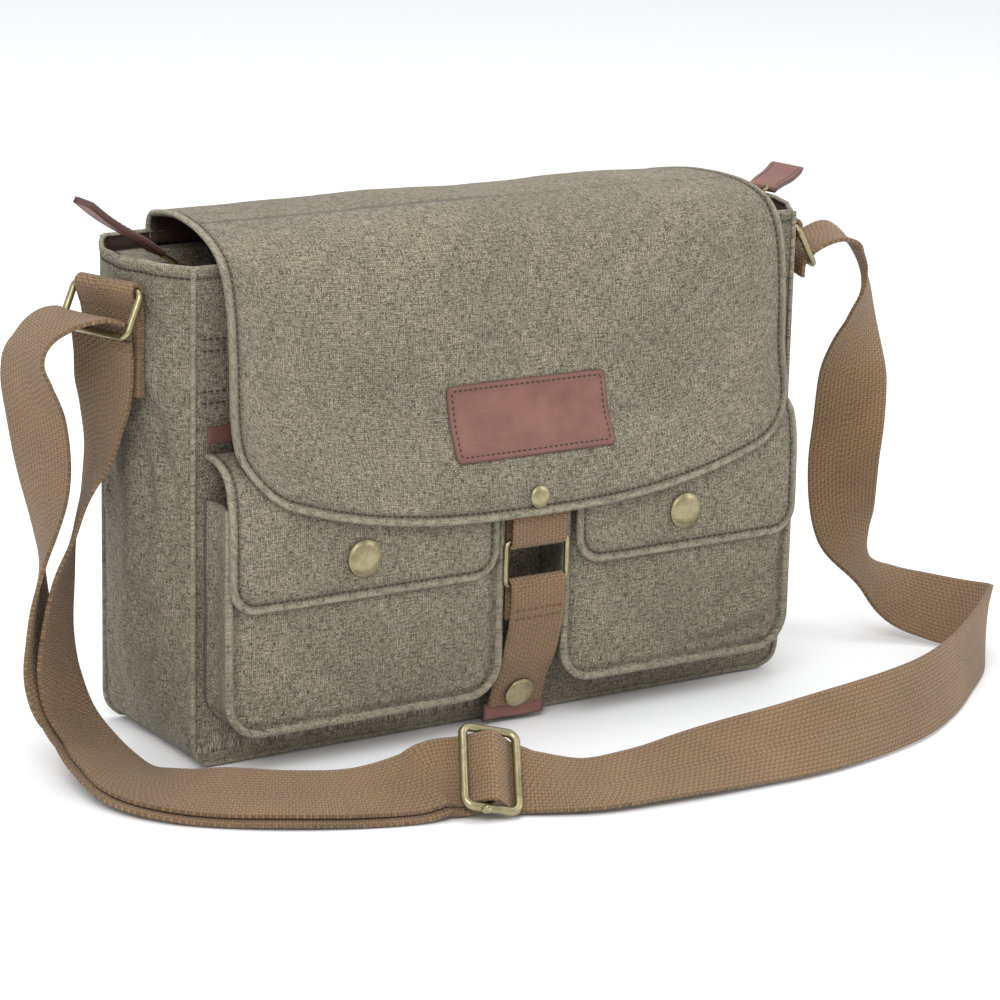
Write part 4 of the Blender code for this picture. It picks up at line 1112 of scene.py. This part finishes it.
def make_flap():
    """The flap in two cloths, front and rear, with its hem's stitches and the sewn row on the back."""
    front = sheet("flap_cloth", FLAP.rows(start=FLAP_SPLIT), FLAP_CLOTH, "canvas", inner="lining",
                  wear=FLAP.wear, soil=FLAP.soil, front=(0, -1, 0.1))
    rear = sheet("flap_rear_cloth", FLAP.rows(start=0.0, end=FLAP_SPLIT), FLAP_CLOTH, "canvas", inner="lining",
                 wear=FLAP.wear, soil=FLAP.soil, front=(0, 0, 1), uv_origin=(0.0, -FLAP_SPLIT))
    front_thread = stitches("flap_stitches", [FLAP.stitch_line(FLAP_STITCH_INSET, FLAP_SPLIT)])
    sides = []
    for x in (FLAP.middle - FLAP.half + FLAP_STITCH_INSET, FLAP.middle + FLAP.half - FLAP_STITCH_INSET):
        sides.append([(FLAP.point(x, s), (0.0, *FLAP_PATH.outward(s)))
                      for s in FLAP.steps(0.012, FLAP_SPLIT)])
    rear_row = [(FLAP.point(x, 0.010), (0.0, *FLAP_PATH.outward(0.010)))
                for x in [FLAP.middle + FLAP.half * (k / 60 - 1) * 0.97 for k in range(121)]]
    rear_thread = stitches("flap_rear_stitches", sides + [rear_row])
    for piece, kind in ((front, "canvas"), (rear, "canvas"), (front_thread, "thread"),
                        (rear_thread, "thread")):
        keep(piece, kind)
        apply_modifiers(piece)
    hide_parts("flap_front", "flap_top")
    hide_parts("flap_rear_strip")
    for piece in (front, front_thread):
        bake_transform(piece)
    for piece in (rear, rear_thread):
        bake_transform(piece)


def make_patch():
    """The blank leather patch, following the flap's surface, with its sewn border."""
    low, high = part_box("leather_patch")
    top = FLAP_PATH.distance_at_z(high.z)
    end = FLAP_PATH.distance_at_z(low.z)
    half = (high.x - low.x) / 2
    tall = (end - top) / 2
    corner = 3.5 * MM

    def spot(x, s, lift):
        return Vector(FLAP.point(x, s)) + Vector((0, *FLAP_PATH.outward(s))) * lift

    near = [0.3 * MM, 0.4 * MM, 0.6 * MM, 0.9 * MM, 1.3 * MM]
    us = spaced(-half, half, near, 2.5 * MM)
    vs = spaced(-tall, tall, near, 2.5 * MM)
    rows, marks = [], []
    for v in vs:
        gap = max(0.0, abs(v) - (tall - corner))
        pull = corner - math.sqrt(max(corner ** 2 - gap ** 2, 0.0))
        row, mark = [], []
        for u in us:
            x = u * (half - pull) / half
            edge = min(half - pull - abs(x), tall - abs(v))
            height = 1.5 * MM - 0.7 * MM * (1 - smooth_share(edge / (1.2 * MM)))
            height -= 0.35 * MM * math.exp(-((edge / MM - 2.8) / 0.7) ** 2)
            height += 0.15 * MM * cloudy(x, v, 0.02, 3.0)
            row.append(spot(x, (top + end) / 2 + v, height))
            mark.append(edge)
        rows.append(row)
        marks.append(mark)
    # Darker at the dyed cut edge, and painted shade in the stitched groove 2.8 mm in
    patch = sheet("patch_leather", rows, 1.5 * MM, "leather", front=(0, -1, 0.1),
                  soil=lambda i, j: max(0.0, 1 - marks[i][j] / (1.3 * MM)) * 0.8
                  + 0.3 * math.exp(-((marks[i][j] / MM - 2.8) / 0.8) ** 2))
    keep(patch, "leather", "flap_lower", ["leather_patch"])
    inset = 2.8 * MM
    outline = rounded_loop(half - inset, tall - inset, 2.0 * MM, 4)
    outline += outline[:5]
    dense = []
    for (ax, ay), (bx, by) in zip(outline, outline[1:]):
        count = max(1, round(math.hypot(bx - ax, by - ay) / (2 * MM)))
        dense += [(ax + (bx - ax) * k / count, ay + (by - ay) * k / count) for k in range(count)]
    line = []
    for x, v in dense:
        s = (top + end) / 2 - v
        line.append((spot(x, s, 1.25 * MM), (0.0, *FLAP_PATH.outward(s))))
    thread = stitches("patch_stitches", [line], length=2.0 * MM, pitch=2.9 * MM, radius=0.34 * MM)
    keep(thread, "thread", "flap_lower")


# ---------------------------------------------------------------- snaps and rivets
CAP_SHARES = ((0, 1), (0.30, 0.985), (0.55, 0.93), (0.74, 0.80), (0.86, 0.66), (0.90, 0.56), (0.915, 0.50),
              (0.95, 0.52), (0.985, 0.46), (1, 0.32), (0.985, 0.16), (0.93, 0.02), (0.8, -0.25), (0, -0.3))


def cap_profile(radius, rise):
    """A snap cap's outer line: a low dome, a groove and a rolled rim."""
    return [(radius * across, rise * up) for across, up in CAP_SHARES]


def make_caps():
    """The brass caps on the pocket flaps, and the rivet at the flap's tip."""
    for side in ("left", "right"):
        low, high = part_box(side + "_snap_cap")
        centre = (low + high) / 2
        place = facing((centre.x, high.y - 0.4 * MM, centre.z), (0, -1, 0.03))
        profile = cap_profile((high.x - low.x) / 2, 3.0 * MM)
        cap = turned(side + "_snap_cap_brass", profile, place, "brass", 56)
        keep(cap, "brass", side + "_pocket_flap", [side + "_snap_cap"])
    low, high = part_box("flap_rivet")
    centre = (low + high) / 2
    s = FLAP_PATH.distance_at_z(centre.z)
    out = FLAP_PATH.outward(s)
    place = facing(Vector(FLAP.point(centre.x, s)) + Vector((0, *out)) * 0.2 * MM, (0, *out))
    rivet = turned("flap_rivet_brass", cap_profile((high.x - low.x) / 2, 2.0 * MM), place, "brass", 40)
    keep(rivet, "brass", "flap_lower", ["flap_rivet"])


# ---------------------------------------------------------------- webbing
def ribbon(name, line, half, x_middle, thickness, place=None):
    """A straight webbing whose side view is a line of (y, z) points."""
    rows = [[(x_middle + (k / 4 - 1) * half, y, z) for k in range(9)] for y, z in line]
    if place is not None:
        rows = [[tuple(place @ Vector(point)) for point in row] for row in rows]
    piece = sheet(name, rows, thickness, "webbing", offset=0.0)
    round_edges(piece, thickness * 0.32)
    return piece


def fine_line(points, step=0.9 * MM):
    """The same line with points no further apart than about a step."""
    line = [Vector(points[0])]
    for a, b in zip(points, points[1:]):
        a, b = Vector(a), Vector(b)
        count = max(1, round((b - a).length / step))
        line += [a.lerp(b, k / count) for k in range(1, count + 1)]
    return [tuple(point) for point in line]


RING_BAR_Y = JOINTS["closure_ring_swing"]["pos_m"][1]
RING_HIGH_Z = JOINTS["closure_ring_swing"]["pos_m"][2]
RING_LOW_Z = JOINTS["closure_strap_swing"]["pos_m"][2]
LOOP_RADIUS = 0.0028
CLOSURE_RING_WIRE = 1.4 * MM
CLOSURE_HALF = (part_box("closure_strap")[1].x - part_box("closure_strap")[0].x) / 2
CLOSURE_END_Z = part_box("closure_strap")[0].z
SNAP_LOW, SNAP_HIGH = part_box("closure_socket")
CLOSURE_SNAP_Z = (SNAP_LOW.z + SNAP_HIGH.z) / 2
CLOSURE_PATH = Path([
    (RING_BAR_Y - LOOP_RADIUS, RING_LOW_Z), (RING_BAR_Y - 0.0022, RING_LOW_Z - 0.016),
    (RING_BAR_Y + 0.0042, RING_LOW_Z - 0.038), (FRONT_Y - 0.0155, CLOSURE_SNAP_Z + 0.009),
    (FRONT_Y - 0.0120, CLOSURE_SNAP_Z), (FRONT_Y - 0.0100, CLOSURE_END_Z)])


def make_closure():
    """The webbing loop under the flap, the ring in it, and the closure strap with its cap and leather tab."""
    front_y, rear_y = RING_BAR_Y - LOOP_RADIUS, RING_BAR_Y + LOOP_RADIUS
    loop = [(front_y, RING_HIGH_Z + 0.019)]
    loop += arc((RING_BAR_Y, RING_HIGH_Z), LOOP_RADIUS, math.pi, 2 * math.pi, 14)
    loop += [(rear_y, RING_HIGH_Z + 0.016)]
    piece = ribbon("closure_loop_webbing", fine_line(loop), CLOSURE_HALF, FRONT_CENTRE_X, CLOSURE_WEBBING)
    keep(piece, "webbing", "flap_lower", ["flap_webbing_loop"])

    strap = [(rear_y, RING_LOW_Z - 0.018)]
    strap += arc((RING_BAR_Y, RING_LOW_Z), LOOP_RADIUS, 0, math.pi, 14)
    strap += [tuple(CLOSURE_PATH.at(CLOSURE_PATH.length * k / 60)) for k in range(1, 61)]
    piece = ribbon("closure_strap_webbing", fine_line(strap), CLOSURE_HALF, FRONT_CENTRE_X, CLOSURE_WEBBING)
    keep(piece, "webbing", "closure_strap", ["closure_strap"])
    lines = []
    for drop in (0.012, 0.0165):
        y, z = CLOSURE_PATH.at(drop)
        out = (0.0, -1.0, 0.1)
        lines.append([((FRONT_CENTRE_X + CLOSURE_HALF * (k / 6 - 1) * 0.9, y - CLOSURE_WEBBING / 2, z), out)
                      for k in range(13)])
    keep(stitches("closure_strap_stitches", lines, "thread_tan"), "thread_tan", "closure_strap")

    middle = (FRONT_CENTRE_X, (RING_HIGH_Z + RING_LOW_Z) / 2)
    half_height = (RING_HIGH_Z - RING_LOW_Z) / 2
    outline = rounded_loop(CLOSURE_HALF + CLOSURE_RING_WIRE + RING_PLAY, half_height, 0.003, 7, middle)
    line = [(x, RING_BAR_Y, z) for x, z in outline]
    ring = wire("closure_ring_brass", line, CLOSURE_RING_WIRE, "brass", closed=True)
    keep(ring, "brass", "closure_ring", ["closure_ring"])

    low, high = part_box("closure_snap_cap")
    s = CLOSURE_PATH.distance_at_z(CLOSURE_SNAP_Z)
    out = -CLOSURE_PATH.outward(s)
    out = out if out[0] < 0 else -out
    middle = CLOSURE_PATH.at(s) + out * (CLOSURE_WEBBING / 2 + 0.7 * MM)
    cap = turned("closure_cap_brass", cap_profile((high.x - low.x) / 2, 2.8 * MM),
                 facing((FRONT_CENTRE_X, *middle), (0, *out)), "brass", 56)
    keep(cap, "brass", "closure_strap", ["closure_snap_cap"])

    low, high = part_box("closure_tab")
    rows = []
    for k in range(9):
        z = low.z + (high.z - low.z) * k / 8
        rows.append([(low.x + (high.x - low.x) * q / 20 + 0.3 * MM * cloudy(q * 0.01, z, 0.004, k),
                      low.y - 0.2 * MM + 0.5 * MM * math.sin(math.pi * q / 10) * (1 - k / 8), z)
                     for q in range(21)])
    tab = sheet("closure_tab_leather", rows, 1.5 * MM, "leather", front=(0, -1, 0),
                soil=lambda i, j: 0.7 if min(i, j, 20 - j) == 0 else 0.0)
    keep(tab, "leather", "closure_strap", ["closure_tab"])


# ---------------------------------------------------------------- the shoulder strap
# Stations of x, y, z of the strap's middle in millimetres, then its width direction, as in part.py.
STRAP_ROUTE = [
    (-198.7, -9, 206, -.31, .95, 0), (-197.3, -8.2, 194.7, -.3, .95, 0), (-196.8, -6.5, 180, -.26, .965, 0),
    (-196.5, -3.5, 164.5, -.05, 1, 0), (-197.5, -.3, 145.8, .18, .98, 0), (-203, 1, 127.3, .38, .9, -.1),
    (-208, 2, 109, .45, .86, -.1), (-214, 1, 88, .6, .74, -.2), (-219, -2, 64, .7, .65, -.2),
    (-220, -5, 44, .8, .55, -.2), (-216, -10, 26, .84, .5, -.15), (-211, -24, 14, .84, .52, -.12),
    (-211, -46, 9.5, .84, .54, -.1), (-209, -68, 8.6, .76, .65, .05), (-200, -87, 9.1, .66, .74, .15),
    (-184, -103, 10, .55, .8, .25), (-160, -119, 9.9, .5, .84, .22), (-133, -132, 9.8, .45, .87, .25),
    (-109, -141.5, 13, .4, .8, .43), (-96.5, -143.8, 16.4, .39, .74, .54), (-85.9, -147.7, 17.2, .39, .71, .59),
    (-80, -152.7, 19.5, .39, .71, .59), (-74.2, -157.5, 21.4, .39, .71, .59),
    (-68, -157, 16.8, .39, .71, .59), (-61.8, -156.6, 12.4, .39, .71, .59), (-52, -161.5, 10.6, .42, .8, .45),
    (-28, -171, 8.5, .45, .84, .28), (0, -175, 9.5, .4, .85, .32), (26, -178, 12, .38, .79, .46),
    (52, -180, 13.8, .35, .72, .58), (80, -182, 15.6, .3, .64, .7), (108, -182, 17.6, .24, .5, .82),
    (140, -178, 19, .18, .36, .9), (172, -168, 19.6, .15, .3, .93), (205, -149, 19.8, .14, .26, .94),
    (238, -124, 19.9, .22, .28, .92), (264, -102, 20, .32, .36, .86), (280, -83, 19.6, .42, .45, .79),
    (283, -66, 17.5, .45, .48, .75), (278, -50, 17.5, .46, .52, .72), (269, -36, 20, .5, .56, .65),
    (260, -24, 26, .6, .66, .42), (251, -15, 35, .8, .6, 0), (245, -10, 50, .96, .2, -.15),
    (240, -10, 70, .97, -.2, 0), (239, -10, 94, .88, -.46, .1), (242, -9, 116, .86, -.5, .1),
    (244, -8, 138, .94, -.32, .08), (246, -7, 155, .99, .1, 0), (248, -7, 172, .85, .5, -.15),
    (248, -8, 190, .66, .73, -.1), (242, -8.5, 206, .5, .85, -.05), (231, -10, 217, .4, .9, .03),
    (218, -11, 219, .33, .94, 0), (206, -10.8, 215.6, .31, .95, 0), (199.4, -9.4, 209.5, .31, .95, 0),
    (198.7, -9, 202, .31, .95, 0)]
RETURN_DROP = [
    (-198.7, -9.1, 206.8, -.31, .95, 0), (-199.3, -9.4, 211.5, -.31, .95, 0), (-203.5, -10.4, 215, -.31, .95, 0),
    (-212, -11, 217, -.27, .96, 0), (-222, -10, 215.5, -.15, .98, -.03), (-231, -9, 210, 0, .98, -.05),
    (-236, -8, 201, 0, .99, -.1), (-235, -6, 188.5, -.14, .97, -.15), (-229.5, -3, 169.7, -.27, .93, -.2),
    (-226, -1, 151, -.26, .93, -.2), (-224, 1, 132.4, -.12, .97, -.2), (-224, 2, 114, .15, .96, -.2),
    (-225, 2, 98, .38, .9, -.2), (-226, 2, 80, .55, .78, -.2), (-226.5, -1, 60, .7, .65, -.2),
    (-226.5, -6, 41, .82, .54, -.18)]
RETURN_END = [(-79.3, -150.9, 15.6, .39, .71, .59), (-74.3, -153.2, 15.8, .39, .71, .59)]
LAYERED_FROM, LAYERED_TO = 10, 20
LAYER_DROP = 3.2
LAYER_PEEK = 3.0
SLIDER_CENTRE = Vector((-0.0740, -0.1552, 0.0186))
SLIDER_ACROSS = Vector((0.385, 0.700, 0.590))
SLIDER_ALONG = Vector((0.903, -0.361, -0.232))


def beneath(route, first, last):
    """Stations just under a route's own, moved a little towards the outer edge so that it peeks out."""
    stations = []
    for i in range(first, last + 1):
        middle = Vector(route[i][:3])
        run = (Vector(route[i + 1][:3]) - Vector(route[i - 1][:3])).normalized()
        across = Vector(route[i][3:])
        across = (across - run * across.dot(run)).normalized()
        place = middle - run.cross(across) * LAYER_DROP - across * LAYER_PEEK
        stations.append((*place, *across))
    return stations


def strap_strip(name, route):
    """The webbing along a route, with rounded selvedges and a slight cross curl."""
    stations = [tuple(value / 1000 for value in station[:3]) + tuple(station[3:]) for station in route]
    line = smooth_line(stations, 12)
    middles = [Vector(station[:3]) for station in line]
    rows = []
    for i, station in enumerate(line):
        run = (middles[min(i + 1, len(middles) - 1)] - middles[max(i - 1, 0)]).normalized()
        across = Vector(station[3:])
        across = (across - run * across.dot(run)).normalized()
        up = run.cross(across)
        row = []
        for k in range(13):
            u = k / 6 - 1
            curl = 0.25 * MM * (u * u - 0.4)
            curl += 0.25 * MM * cloudy(i * 0.002, u * 0.01, 0.02, 4.0) * (1 - u * u)
            row.append(middles[i] + across * (u * STRAP_WIDTH / 2) + up * curl)
        rows.append(row)
    piece = sheet(name, rows, STRAP_WEBBING, "webbing", offset=0.0)
    round_edges(piece, 0.6 * MM)
    length = sum((b - a).length for a, b in zip(middles, middles[1:]))
    return piece, middles, length


def make_strap():
    """The slider, the long webbing and the sewn end that returns to the slider."""
    across = SLIDER_ACROSS.normalized()
    along = (SLIDER_ALONG - across * SLIDER_ALONG.dot(across)).normalized()
    turn = Matrix((along, across, along.cross(across))).transposed().to_4x4()
    place = Matrix.Translation(SLIDER_CENTRE) @ turn
    reach = STRAP_WIDTH / 2 + RING_PLAY + 2.0 * MM
    outline = [(x, y, 0.0) for x, y in rounded_loop(0.013, reach, 0.0045, 9)]
    slider = wire("slider_frame_brass", outline, 2.1 * MM, "brass", closed=True, place=place)
    keep(slider, "brass", "root", ["strap_slider"])
    curl = [(0.0, -reach + 0.4 * MM, 0.0)]
    curl += [(-4.2 * MM * math.sin(a), -reach - 0.3 * MM - 1.8 * MM * math.sin(a), 1.7 * MM * (1 - math.cos(a)))
             for a in (math.pi * k / 8 for k in range(1, 7))]
    bar = wire("slider_bar_brass", [(0.0, reach - 0.5 * MM, 0.0)] + curl, 1.7 * MM, "brass", place=place)
    keep(bar, "brass", "root", ["strap_slider_bar"])

    main, middles, length = strap_strip("shoulder_strap_webbing", STRAP_ROUTE)
    keep(main, "webbing", "root", ["shoulder_strap"])
    tuple(middles[0])
    [tuple(point) for point in middles]
    lower = RETURN_DROP + beneath(STRAP_ROUTE, LAYERED_FROM, LAYERED_TO) + RETURN_END
    back, middles, length = strap_strip("strap_return_webbing", lower)
    keep(back, "webbing", "root", ["strap_return"])
    tuple(middles[0])
    [tuple(point) for point in middles]


RING_WIRE = 0.00175
RING_HEIGHT = 0.0219
RING_TILT = math.radians(27)
RING_TWIST = math.radians(18)
CHAPE_HALF = 0.0175
CHAPE_LENGTH = 0.050


def make_ring_and_chape(side):
    """One strap ring and the sewn webbing that holds it to the gusset."""
    sign = -1 if side == "left" else 1
    turn = math.pi + RING_TWIST if sign < 0 else -RING_TWIST
    place = Matrix.Translation(JOINTS[side + "_ring_swing"]["pos_m"]) @ Matrix.Rotation(turn, 4, "Z")
    reach = STRAP_WIDTH / 2 + RING_PLAY + RING_WIRE
    outline = [(-height * math.sin(RING_TILT), y, height * math.cos(RING_TILT))
               for y, height in rounded_loop(reach, RING_HEIGHT / 2, 0.0035, 8, (0.0, -RING_HEIGHT / 2))]
    ring = wire(side + "_ring_brass", outline, RING_WIRE, "brass", closed=True, place=place)
    keep(ring, "brass", side + "_strap_ring", [side + "_strap_ring"])
    low = CHAPE_LENGTH
    line = [(-0.0040, -low), (-0.0040, -0.014), (-0.0032, -0.004)]
    line += arc((0, 0), 0.0031, math.pi, 0, 14)
    line += [(0.0016, -0.0045), (-0.0006, -0.010), (-0.0019, -0.016), (-0.0019, -low)]
    turned_place = place @ Matrix(((0, 1, 0, 0), (1, 0, 0, 0), (0, 0, 1, 0), (0, 0, 0, 1)))
    chape = ribbon(side + "_chape_webbing", fine_line(line), CHAPE_HALF + 1.2 * MM, 0.0, CHAPE_WEBBING,
                   place=turned_place)
    keep(chape, "webbing", "root", [side + "_chape"])
    lines = []
    out = place.to_3x3() @ Vector((1, 0, 0))
    for z in (-0.020, -low + 0.004):
        lines.append([(place @ Vector((-0.0010, CHAPE_HALF * (k / 8 - 1) * 0.92, z)), out)
                      for k in range(17)])
    for y in (-0.92, 0.92):
        lines.append([(place @ Vector((-0.0010, CHAPE_HALF * y, -0.020 - (low - 0.024) * k / 16)), out)
                      for k in range(17)])
    keep(stitches(side + "_chape_stitches", lines, "thread_tan"), "thread_tan", "root")


# ---------------------------------------------------------------- zips and pulls
def leather_tab(name, length, width, thickness, place, body, replaces):
    """A folded leather pull: rounded at its outer end, sewn along both sides, a little wavy."""

    def narrowing(t):
        return 1.0 - 0.18 * (1 - t) - 0.10 * max(0.0, (t - 0.93) / 0.07) ** 2

    def bow(t):
        return 0.5 * MM * math.sin(2.2 * math.pi * t) + 1.4 * MM * t * t

    columns = spaced(-width / 2, width / 2, [0.4 * MM, 0.5 * MM, 0.8 * MM], 1.3 * MM)
    count = 40
    rows, marks = [], []
    for k in range(count + 1):
        t = k / count
        x = length * t
        row, mark = [], []
        for y in columns:
            edge = min(width / 2 - abs(y), x + 1 * MM, length - x)
            z = bow(t) + thickness / 2 - 0.5 * MM * (1 - smooth_share(edge / (1.3 * MM)))
            z -= 0.25 * MM * math.exp(-((edge / MM - 2.3) / 0.6) ** 2)
            row.append(tuple(place @ Vector((x, y * narrowing(t), z))))
            mark.append(edge)
        rows.append(row)
        marks.append(mark)
    up = place.to_3x3() @ Vector((0, 0, 1))
    piece = sheet(name, rows, thickness, "leather", front=tuple(up),
                  soil=lambda i, j: max(0.0, 1 - marks[i][j] / (1.0 * MM)) * 0.8)
    keep(piece, "leather", body, replaces)
    lines = []
    for y in (-1, 1):
        line = []
        for k in range(3, count - 2):
            t = k / count
            across = y * (width / 2 - 2.3 * MM) * narrowing(t)
            line.append((place @ Vector((length * t, across, bow(t) + thickness / 2 - 0.2 * MM)), up))
        lines.append(line)
    thread = stitches(name + "_stitches", lines, length=1.9 * MM, pitch=2.8 * MM, radius=0.28 * MM)
    keep(thread, "thread", body)


PULL_LENGTH = 0.0465
PULL_WIDTH = 0.0185
PULL_LEATHER = 3.0 * MM
RIGHT_PULL_LEVEL = 4
RIGHT_PULL_YAW = 37
RIGHT_PULL_ROLL = 9
LINK_WIRE = 0.9 * MM
# Each pull's side, which way it points, how steeply it rises in degrees, and its link's length
PULLS = (("left", -1, 33, 0.0095), ("right", 1, 30, 0.0160))


def make_pulls():
    """The two leather pulls of the mouth's zip, each on its brass link."""
    for side, sign, rise, link_length in PULLS:
        pivot = JOINTS[side + "_pull_swing"]["pos_m"]
        turn = Matrix.Rotation(math.pi if sign < 0 else 0.0, 4, "Z") @ Matrix.Rotation(-math.radians(rise), 4, "Y")
        place = Matrix.Translation(pivot) @ turn
        tab = place @ Matrix.Translation((link_length - 0.0010, 0, 0))
        if sign > 0:
            tab = place @ Matrix.Translation((link_length + 0.0012, 0, 0))
            turns = ((rise - RIGHT_PULL_LEVEL, "Y"), (RIGHT_PULL_YAW, "Z"), (RIGHT_PULL_ROLL, "X"))
            for degrees, axis in turns:
                tab = tab @ Matrix.Rotation(math.radians(degrees), 4, axis)
        leather_tab(side + "_zip_pull_leather", PULL_LENGTH, PULL_WIDTH, PULL_LEATHER, tab, side + "_pull",
                    [side + "_pull_leather"])
        middle = (link_length + 1 * MM) / 2
        outline = rounded_loop(middle + 1.8 * MM, 3.4 * MM, 1.8 * MM, 5, (middle, 0.0))
        loop = [(x, y, 0.0) for x, y in outline]
        link = wire(side + "_link_brass", loop, LINK_WIRE, "brass", closed=True, place=place)
        keep(link, "brass", side + "_pull", [side + "_pull_link"])


ZIP_TURN = 0.060
ZIP_END_X = 0.166
TOOTH_PITCH = 2.4 * MM
# The facing's and the tape's rows, as distances from the middle of the closed zip
FACING_ROWS = (FACING_Y + 2.2 * MM, FACING_Y, 0.036, 0.031, 0.026, 0.021, 0.0165, 0.0145, 0.0135)
TAPE_ROWS = (0.0150, 0.0120, 0.0090, 0.0060, 0.0030)
TOOTH_FACES = ((0, 1, 3, 2), (4, 6, 7, 5), (0, 4, 5, 1), (2, 3, 7, 6), (0, 2, 6, 4), (1, 5, 7, 3))


def make_zip(name, side):
    """One side of the mouth's zip: cloth facing and tape with its teeth, level when the zip is closed."""
    hang = math.radians(JOINTS["zip_" + name + "_fold"]["range_deg"][1])

    def drop(x, y, z):
        """Where a point of the closed zip lies at rest, with the zip open."""
        share = smooth_share((ZIP_END_X - abs(x)) / ZIP_TURN)
        angle = -hang * share
        reach, height = FACING_Y - y, z - MOUTH_Z
        along = reach * math.cos(angle) - height * math.sin(angle)
        up = reach * math.sin(angle) + height * math.cos(angle)
        return (x, side * (FACING_Y - along), MOUTH_Z + up)

    for half, x_side in (("left", -1), ("right", 1)):
        xs = [x_side * ZIP_END_X * (1 - k / 44) for k in range(45)]
        rows = []
        for y in FACING_ROWS:
            ridge = 0.5 * MM if y < 0.0165 else 0.0
            rows.append([drop(x, y, MOUTH_Z + ridge + 0.5 * MM * cloudy(x, y, 0.03, side)) for x in xs])
        parts = [(sheet(f"zip_{name}_{half}_facing", rows, 1.2 * MM, "canvas"), "canvas")]
        rows = [[drop(x, y, MOUTH_Z - 0.3 * MM) for x in xs] for y in TAPE_ROWS]
        parts.append((sheet(f"zip_{name}_{half}_tape", rows, 0.8 * MM, "zip_tape"), "zip_tape"))
        mesh = bpy.data.meshes.new(f"zip_{name}_{half}_teeth")
        shape = bmesh.new()
        shift = 0.0 if side < 0 else TOOTH_PITCH / 2
        for k in range(int((ZIP_END_X - 0.008) / TOOTH_PITCH)):
            x = x_side * (ZIP_END_X - 0.004 - k * TOOTH_PITCH - shift)
            corners = []
            for dx in (-0.55 * MM, 0.55 * MM):
                for y in (0.0038, -0.0006):
                    for dz in (-0.9 * MM, 0.9 * MM):
                        corners.append(shape.verts.new(drop(x + dx, y, MOUTH_Z + dz)))
            for face in TOOTH_FACES:
                shape.faces.new([corners[i] for i in face])
        bmesh.ops.recalc_face_normals(shape, faces=shape.faces[:])
        shape.to_mesh(mesh)
        shape.free()
        mesh.materials.append(MATERIALS["brass"])
        parts.append((add_mesh(mesh.name, mesh), "brass"))
        for piece, kind in parts:
            keep(piece, kind)
            apply_modifiers(piece)
            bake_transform(piece)
        if half == "left":
            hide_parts("zip_facing_" + name)
            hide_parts("zip_tape_" + name)


def make_front_strip_stitches():
    """Two pairs of stitch rows beside the flap, where the front zip pocket is sewn in."""
    lines = []
    for z in (0.2080, 0.2025, 0.1835, 0.1780):
        for side in (-1, 1):
            lines.append([((side * (HALF_WIDTH - 3 * MM - 20 * MM * k / 8), FRONT_Y - 1.6 * MM, z), (0, -1, 0))
                          for k in range(9)])
    keep(stitches("front_pocket_rows", lines), "thread", "root")


def rim_stitches():
    """The hem's stitches round the rim."""
    z = RIM_Z - 6.0 * MM
    lines = []
    for side in (-1, 1):
        line = []
        for k in range(61):
            y = (k / 30 - 1) * (half_depth(z) - 1 * MM)
            swell = gusset_bulge(z) * (1 - (y / BACK_Y) ** 2)
            x = side * (HALF_WIDTH + swell + gusset_push(y, z, side * 2.0))
            line.append(((x, y, z), (side, 0, 0)))
        lines.append(line)
    keep(stitches("rim_stitches", lines), "thread", "root")


def make_tag():
    """The small blank tag sewn on the side."""
    low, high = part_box("side_tag")
    rows = [[(low.x + (high.x - low.x) * k / 8, low.y + 0.8 * MM * math.sin(k * 0.7) * k / 8,
              low.z + (high.z - low.z) * q / 10) for k in range(9)] for q in range(11)]
    keep(sheet("side_tag_cloth", rows, 0.7 * MM, "tag"), "tag", "root", ["side_tag"])


def finish_cad_nodes():
    """Brass, leather and tape that keep their CAD shape get the detailed materials."""
    kinds = {"left_pocket_stud": "brass", "right_pocket_stud": "brass", "closure_stud": "brass",
             "closure_socket": "brass", "left_zip_slider": "brass", "right_zip_slider": "brass",
             "front_zip_slider": "brass", "front_zip_pull": "leather_dark", "front_zip_tape": "zip_tape"}
    for name, kind in kinds.items():
        node = frame["nodes"][name]
        node.data.materials.clear()
        node.data.materials.append(MATERIALS[kind])


make_stage()
make_strap()
make_front_and_back()
make_gussets()
make_seams_and_bottom()
make_lining()
for pocket_side in ("left", "right"):
    make_pocket(pocket_side)
    make_pocket_flap(pocket_side)
    make_ring_and_chape(pocket_side)
make_flap()
make_patch()
make_caps()
make_closure()
make_pulls()
make_zip("front", -1)
make_zip("back", 1)
make_front_strip_stitches()
rim_stitches()
make_tag()
finish_cad_nodes()
